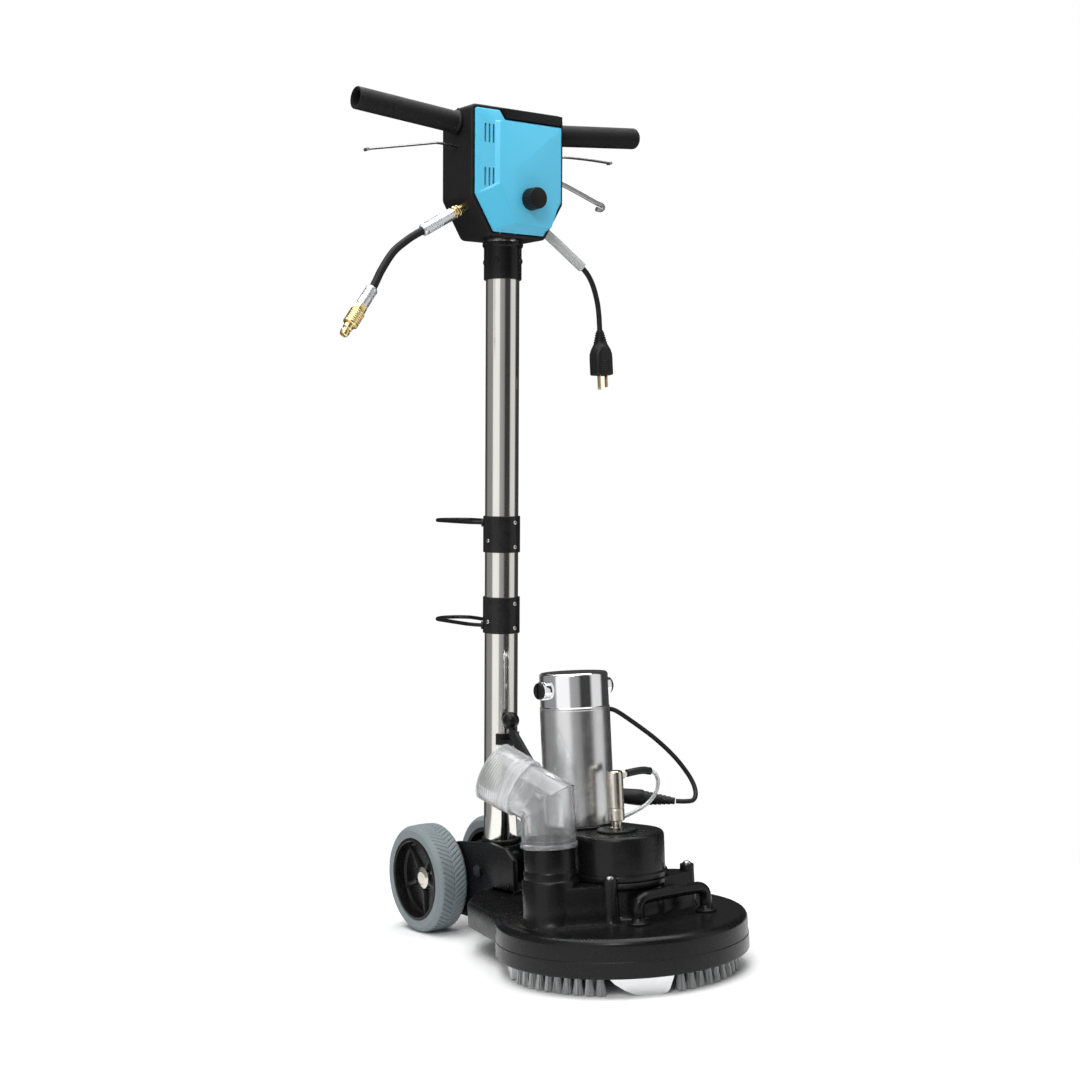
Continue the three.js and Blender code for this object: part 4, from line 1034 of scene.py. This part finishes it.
# Tilt lock lever
def make_lock():
    outline = [(141, 206), (154, 207), (223, 284), (232, 296), (224, 303), (211, 292), (141, 222)]
    bar = side_on(round_corners(outline, 4, 4), -11, -5)
    stem = between((-8, 224, 292), (-8, 227, 306), 4, sides=24)
    ball = lathe([(0, -12), *arc(0, 0, 12, -84, 84, 28), (0, 12)], 48)
    collar = turned_on([(0, 0), (6.6, 0), (6.6, 2), (5, 4), (0, 4)], (-8, 226, 300), (0, 3, 14), 28)
    piece("tilt_lock", [bar, stem, shifted(ball, (-8, 227, 312)), collar], HEAD, PAINT,
          "lock_body", ["lock_lever"], "painted")


make_lock()


# Column, foot, collar, hooks
def outward(angle):
    """The direction away from the column's axis at an angle in degrees."""
    a = math.radians(angle)
    return Vector((math.cos(a), math.sin(a), 0))


def round_screw(angle, distance, height, r, high):
    """A button screw on the column, at an angle in degrees round it."""
    out = outward(angle)
    return button_screw(out * distance + Vector((0, 0, height)), out, r, high)


def make_column():
    wall = [(22, -8), (24, -8), (24, 925), (22, 925)]
    on_column("column_chrome", [lathe(wall, 96, closed=True)], TUBE_CHROME, ["column_tube"], "chrome")
    foot = prism(round_corners([(-27.5, -30), (27.5, -30), (27.5, 27), (-27.5, 27)], 9, 6), -14, 38)
    top = lathe([(24.3, 37), (27.2, 37), (27.2, 44), (26, 45.4), (24.3, 45.4)], 64, closed=True)
    on_column("foot_block", [foot, top], PAINT, ["foot_socket"], "painted", bevel=1.2)
    knob = [
        (0, 0), (3, 0), (3, 6), (5.4, 6.2), (5.4, 10), (7, 11), (7.4, 13), (6.4, 18), (4.6, 19.4), (0, 19.6),
    ]
    on_column("clamp_thumb_knob", [turned_on(knob, (0, -24.6, 26), (0, -1, 0), 36)], PLASTIC,
              ["clamp_knob"], "black_plastic")
    saddle = arc(0, 0, 24.3, -140, -40, 25) + arc(0, 0, 26.8, -40, -140, 25)
    hook = box(-16, 0, -33, -25.5, 182.6, 192)
    on_column("lock_catch", [prism(saddle, 184, 200), hook], PAINT, ["latch_band"], "painted", bevel=0.4)
    collar = lathe([
        (24.3, 847), (26, 847), (27, 848), (27, 891.5), (27.5, 893), (29, 894.6), (29, 898.8),
        (28, 899.7), (24.3, 899.7),
    ], 80, closed=True)
    on_column("tube_collar", [collar], PAINT, ["column_collar"], "painted")
    bolts = []
    for angle in (-145, -55, 35, 125):
        bolts += round_screw(angle, 26.6, 873, 4.6, 2.6)
    on_column("collar_bolts", bolts, PAINT, (), "painted")


def make_hook(word, low, rod_at):
    high = low + 52
    band = [
        (24.3, low), (26.1, low), (26.6, low + 0.5), (26.6, high - 0.5), (26.1, high), (24.3, high),
    ]
    ear = box(-4.6, 4.6, 24.6, 31, low + 1, high - 1)
    half = [(18, 17), (21, 21), (26, 30), (29.4, 42), (30, 60), (30, 95), (30, 118)]
    bow = [math.radians(d) for d in range(165, 0, -15)]
    path = [(-x, y) for x, y in half] + [(30 * math.cos(a), 120 + 27.2 * math.sin(a)) for a in bow]
    path += half[::-1]
    loop = tube(smooth_line([(x, y, rod_at) for x, y in path], 120), 2.8, 18)
    button = [(0, -1.4), (5.4, -1.4), (5.8, -0.8), (5.8, 1.2), (5, 1.8), (0, 1.8)]
    pads = []
    for angle in (38, 142):
        out = outward(angle)
        pads.append(turned_on(button, out * 27.4 + Vector((0, 0, rod_at)), out, 28))
    on_column("hook_" + word, [lathe(band, 80, closed=True), ear, loop, *pads], PAINT,
              ["cord_hook_" + word], "painted")
    screws = []
    for angle in (-78, -10, 58, 122, 190):
        for h in ((low + 8, high - 9) if angle < 0 else (low + 17,)):
            screws += round_screw(angle, 26.4, h, 3.0, 1.8)
    on_column("hook_screws_" + word, screws, STEEL, (), "steel")


make_column()
make_hook("upper", 459, 501)
make_hook("lower", 343, 353)


# Handle box, cover, bar, levers
TOP, SHOULDER, BOTTOM = 1081.5, 955.5, 903


def box_outline(inset):
    wide, narrow, shoulder = 77.5 - inset, 46 - inset * 0.6, SHOULDER + inset * 0.5
    return [
        (-wide, TOP - inset), (-wide, shoulder), (-narrow, BOTTOM + inset),
        (narrow, BOTTOM + inset), (wide, shoulder), (wide, TOP - inset),
    ]


def at_depth(outline, y, r):
    return [(x, y, h) for x, h in round_corners(outline, r, 4)]


def make_box():
    loops = []
    for inset, y in ((3.2, 40), (0.9, 38.8), (0, 36), (0, -35.6), (0.7, -37.4), (2.2, -38)):
        loops.append(at_depth(box_outline(inset), y, 8))
    for y in (-38, 36):
        loops.append(at_depth(box_outline(4), y, 5))
    slant = [(2, 1082.5), (41.5, 1057), (52, 1057), (52, 1095), (2, 1095)]
    on_column("box_housing", [rings(loops)], BOX_PLASTIC, ["box_shell"], "black_plastic", angle=50,
              cuts=[side_on(slant, -90, 90)])
    lid = side_on([(1.2, 1080.9), (2.6, 1081.4), (39.6, 1057.6), (39.6, 1055.4), (37.4, 1055.2)], -75, 75)
    on_column("box_slant", [lid], BOX_PLASTIC, (), "black_plastic")

    edge = [
        (-72.5, TOP - 5.5), (-72.5, SHOULDER + 2.5), (-42, BOTTOM + 5.5), (42, BOTTOM + 5.5),
        (72.5, SHOULDER + 2.5),
        (72.5, TOP - 17.5), (-24, TOP - 17.5), (-33, TOP - 5.5),
    ]
    inner = [
        (-71, TOP - 7), (-71, SHOULDER + 3), (-41.2, BOTTOM + 7), (41.2, BOTTOM + 7), (71, SHOULDER + 3),
        (71, TOP - 19), (-25, TOP - 19), (-33.6, TOP - 7),
    ]
    base = [at_depth(edge, -38.3, 3), at_depth(edge, -40.4, 3), at_depth(inner, -41.2, 3)]
    cuts = []
    for low, high in ((969.5, 996), (1029.5, 1056)):
        for x in (-56.9, -50, -43.3):
            vent = arc(x, high - 1.5, 1.5, 0, 180, 6) + arc(x, low + 1.5, 1.5, 180, 360, 6)
            cuts.append(face_on(vent, -60, -30))
    on_column("cover_blue", [rings(base)], BLUE, ["box_cover"], "blue", cuts=cuts, angle=28)
    foot = [
        (-41.4, TOP - 19.4), (-41.4, SHOULDER + 19), (-69, SHOULDER + 4), (-40.4, BOTTOM + 8.4),
        (41, BOTTOM + 8.4),
        (70, SHOULDER + 4), (70, TOP - 19.4),
    ]
    crown = [
        (-35.5, TOP - 20.4), (-35.5, SHOULDER + 21), (-34, SHOULDER + 18), (-10.6, BOTTOM + 19),
        (52, BOTTOM + 17),
        (67.4, SHOULDER + 5.4), (67.4, TOP - 21.4),
    ]
    raised = [
        at_depth(outline, y, 3)
        for outline, y in ((foot, -40.6), (foot, -41.4), (crown, -45.4), (crown, -46))
    ]
    on_column("cover_plateau", [rings(raised)], BLUE, (), "blue", bevel=0.5, angle=28)
    strip = [(-31, TOP - 2.2), (-22.6, TOP - 15.4), (68, TOP - 15.4), (73, TOP - 11), (73, TOP - 2.2)]
    on_column("cover_notch", [face_on(round_corners(strip, 1.2, 3), -42.4, -30)], BOX_PLASTIC, (),
              "black_plastic", bevel=0.8)
    screws = []
    for x, h in ((-66, 1040), (66, 1000), (-38, 914), (38, 914)):
        screws += button_screw((x, 40, h), (0, 1, 0), 3.6, 2.0)
    on_column("box_screws", screws, STEEL, (), "steel")


def make_bar():
    rise = math.tan(math.radians(5))

    def at(x):
        return Vector((x, 0, 1053.5 + abs(x) * rise))

    halves = [tube([at(0), at(side * 60), at(side * 236)], 12.7, 40, inner=10.7) for side in (-1, 1)]
    on_column("handlebar_steel", halves, PAINT, ["handlebar_tube"], "painted")
    for side, word in ((-1, "left"), (1, "right")):
        a, b = at(side * 77.9), at(side * 237.5)
        long = (b - a).length
        profile = [(13, 0), (16.4, 0), (17, 0.8), (17, 3.4), (15.4, 4.6)]
        h = 6.0
        while h < long - 8:
            profile += [(14.8, h), (15.35, h + 0.5), (15.35, h + 1.3), (14.8, h + 1.8)]
            h += 2.3
        if side > 0:
            profile += [
                (15.4, long - 5), (15.0, long - 2.6), (13.6, long - 0.8), (10.8, long), (10.8, long - 1),
                (13, long - 1.2),
            ]
        else:
            profile += [(15.3, long - 5), (15.3, long - 1), (14.8, long), (13, long)]
        on_column("grip_ribbed_" + word, [turned_on(profile, a, b - a, 64, closed=True)], RIBBED,
                  ["grip_" + word], "rubber", angle=50)
        if side < 0:
            path = [(-58, 0, 1027), (-84, 0, 1028), (-103, 0, 1028.7), (-112, 0, 1028.5), (-121, 0, 1026.6),
                    (-182, 0, 1015), (-221, 0, 1007.7)]
        else:
            path = [(58, 0, 1027), (84, 0, 1028.5), (108, 0, 1032.3), (150, 0, 1033.5), (190, 0, 1033)]
        blade = tube(smooth_line(path, 60), 1.5, 20, flat=3.4, up=(0, 0, 1))
        tip = Vector(path[-1])
        curl = between(tip + Vector((0, -5.2, -0.4)), tip + Vector((0, 5.2, -0.4)), 2.2, sides=20)
        eye = [(3.3, -4), (7.6, -4), (8, -3.6), (8, 3.6), (7.6, 4), (3.3, 4)]
        hub = turned_on(eye, (side * 60, 0, 1027), (0, 1, 0), 36, closed=True)
        piece("squeeze_lever_" + word, [blade, curl, hub], COLUMN, BLADE, "lever_%s_body" % word,
              ["lever_" + word],
              "brushed")


def make_box_details():
    at = Vector((16.2, -46.4, 957.2))
    profile = [(0, 19.6), (13.4, 19.6), (14.2, 19.2), (15.1, 18), (15.5, 3), (15.6, 0.6), (15, 0), (0, 0)]
    steps = 96
    points, faces = lathe(profile, steps)
    for k, (x, y, z) in enumerate(points):
        if 1 < z < 18.5 and math.hypot(x, y) > 14.6 and (k % steps) % 4 < 2:
            points[k] = (x * 0.965, y * 0.965, z)
    piece("speed_knob", [moved((points, faces), aim(at, (0, -1, 0)))], COLUMN, BOX_PLASTIC, "knob_body",
          ["control_knob"], "black_plastic", angle=30)
    hook_path = [
        (62, 18, 1006), (78, 18, 1005), (100, 18, 1001), (121.6, 18, 995.4), (150, 18, 986),
        (179.6, 18, 975.7), (190, 18, 973.2), (192.6, 18, 969.5), (188, 18, 966), (180, 18, 966.6),
    ]
    hook = tube(smooth_line(hook_path, 60), 3.4, 24)
    boss = turned_on([(0, 0), (8, 0), (8, 3.4), (6.4, 5), (0, 5)], (77, 18, 1005.1), (1, 0, -0.06), 32)
    on_column("side_hook", [hook, boss], BLADE, ["box_hook"], "steel")


make_box()
make_bar()
make_box_details()


# The CAD nodes that stay get their own finish
KEPT = {
    "spindle_bearing": STEEL, "drive_belt": RUBBER, "motor_armature": STEEL, "head_spindle": STEEL,
    "large_pulley": ALLOY, "brush_plate": PLASTIC, "lever_bracket": STEEL, "speed_dial": BOARD,
    "solution_valve": BRASS,
}
for name, look in KEPT.items():
    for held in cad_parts[name].material_slots:
        held.link = "OBJECT"
        held.material = look


# Floor, lights and surroundings
def make_stage():
    look = finish(
        "floor", (0.9, 0.9, 0.9), (0.93, 0.93, 0.93), 0.7, 0.05, cloud=3,
        grain=[("noise", 60, EVEN, 0.02, 0.5)],
        sockets={"Specular IOR Level": 0.1},
    )
    disc = [(x, y, 0) for x, y in polygon(96, 950)]
    floor = add("floor", mesh_of("floor", [(disc, [tuple(range(len(disc)))])], HEAD))
    floor.data.materials.append(look)

    # White to the camera, and bands of grey to everything that the chrome reflects
    world = bpy.data.worlds.new("studio")
    bpy.context.scene.world = world
    world.use_nodes = True
    tree = world.node_tree
    seen = tree.nodes["Background"]
    wire(tree, seen, {"Color": (1, 1, 1, 1), "Strength": 1.0})
    place = node(tree, "TexCoord", {}).outputs["Generated"]
    around = node(tree, "TexGradient", {"Vector": place}, gradient_type="RADIAL")
    bands = node(tree, "ValToRGB", {"Fac": around.outputs["Fac"]})
    ramp = bands.color_ramp
    stops = [
        (0.0, 1.0), (0.1, 1.0), (0.118, 0.4), (0.19, 0.3), (0.215, 0.05), (0.3, 0.05), (0.33, 0.75),
        (0.42, 0.75), (0.45, 0.05), (0.797, 0.06), (0.836, 0.26), (0.964, 0.3), (0.986, 1.0),
    ]
    while len(ramp.elements) < len(stops):
        ramp.elements.new(0.5)
    for element, (at, value) in zip(ramp.elements, stops):
        element.position = at
        element.color = (value, value, value, 1)
    lit = node(tree, "Background", {"Color": bands.outputs["Color"], "Strength": 1.15})
    shown = node(tree, "MixShader", {
        "Fac": node(tree, "LightPath", {}).outputs["Is Camera Ray"],
        1: lit.outputs["Background"], 2: seen.outputs["Background"],
    })
    wire(tree, tree.nodes["World Output"], {"Surface": shown.outputs["Shader"]})

    def light(name, at, to, size, power):
        data = bpy.data.lights.new(name, "AREA")
        data.shape = "RECTANGLE"
        data.size = size
        data.size_y = size
        data.energy = power
        lamp = add(name, data)
        lamp.location = at
        lamp.rotation_mode = "QUATERNION"
        lamp.rotation_quaternion = (Vector(to) - Vector(at)).to_track_quat("-Z", "Y")

    light("overhead", (0, 0, 3.2), (0, 0, 0), 3.6, 150)
    light("key", (-2.4, -2.6, 2.9), (0, 0, 0.5), 1.0, 50)
    bpy.context.scene.view_settings.view_transform = "Standard"


make_stage()
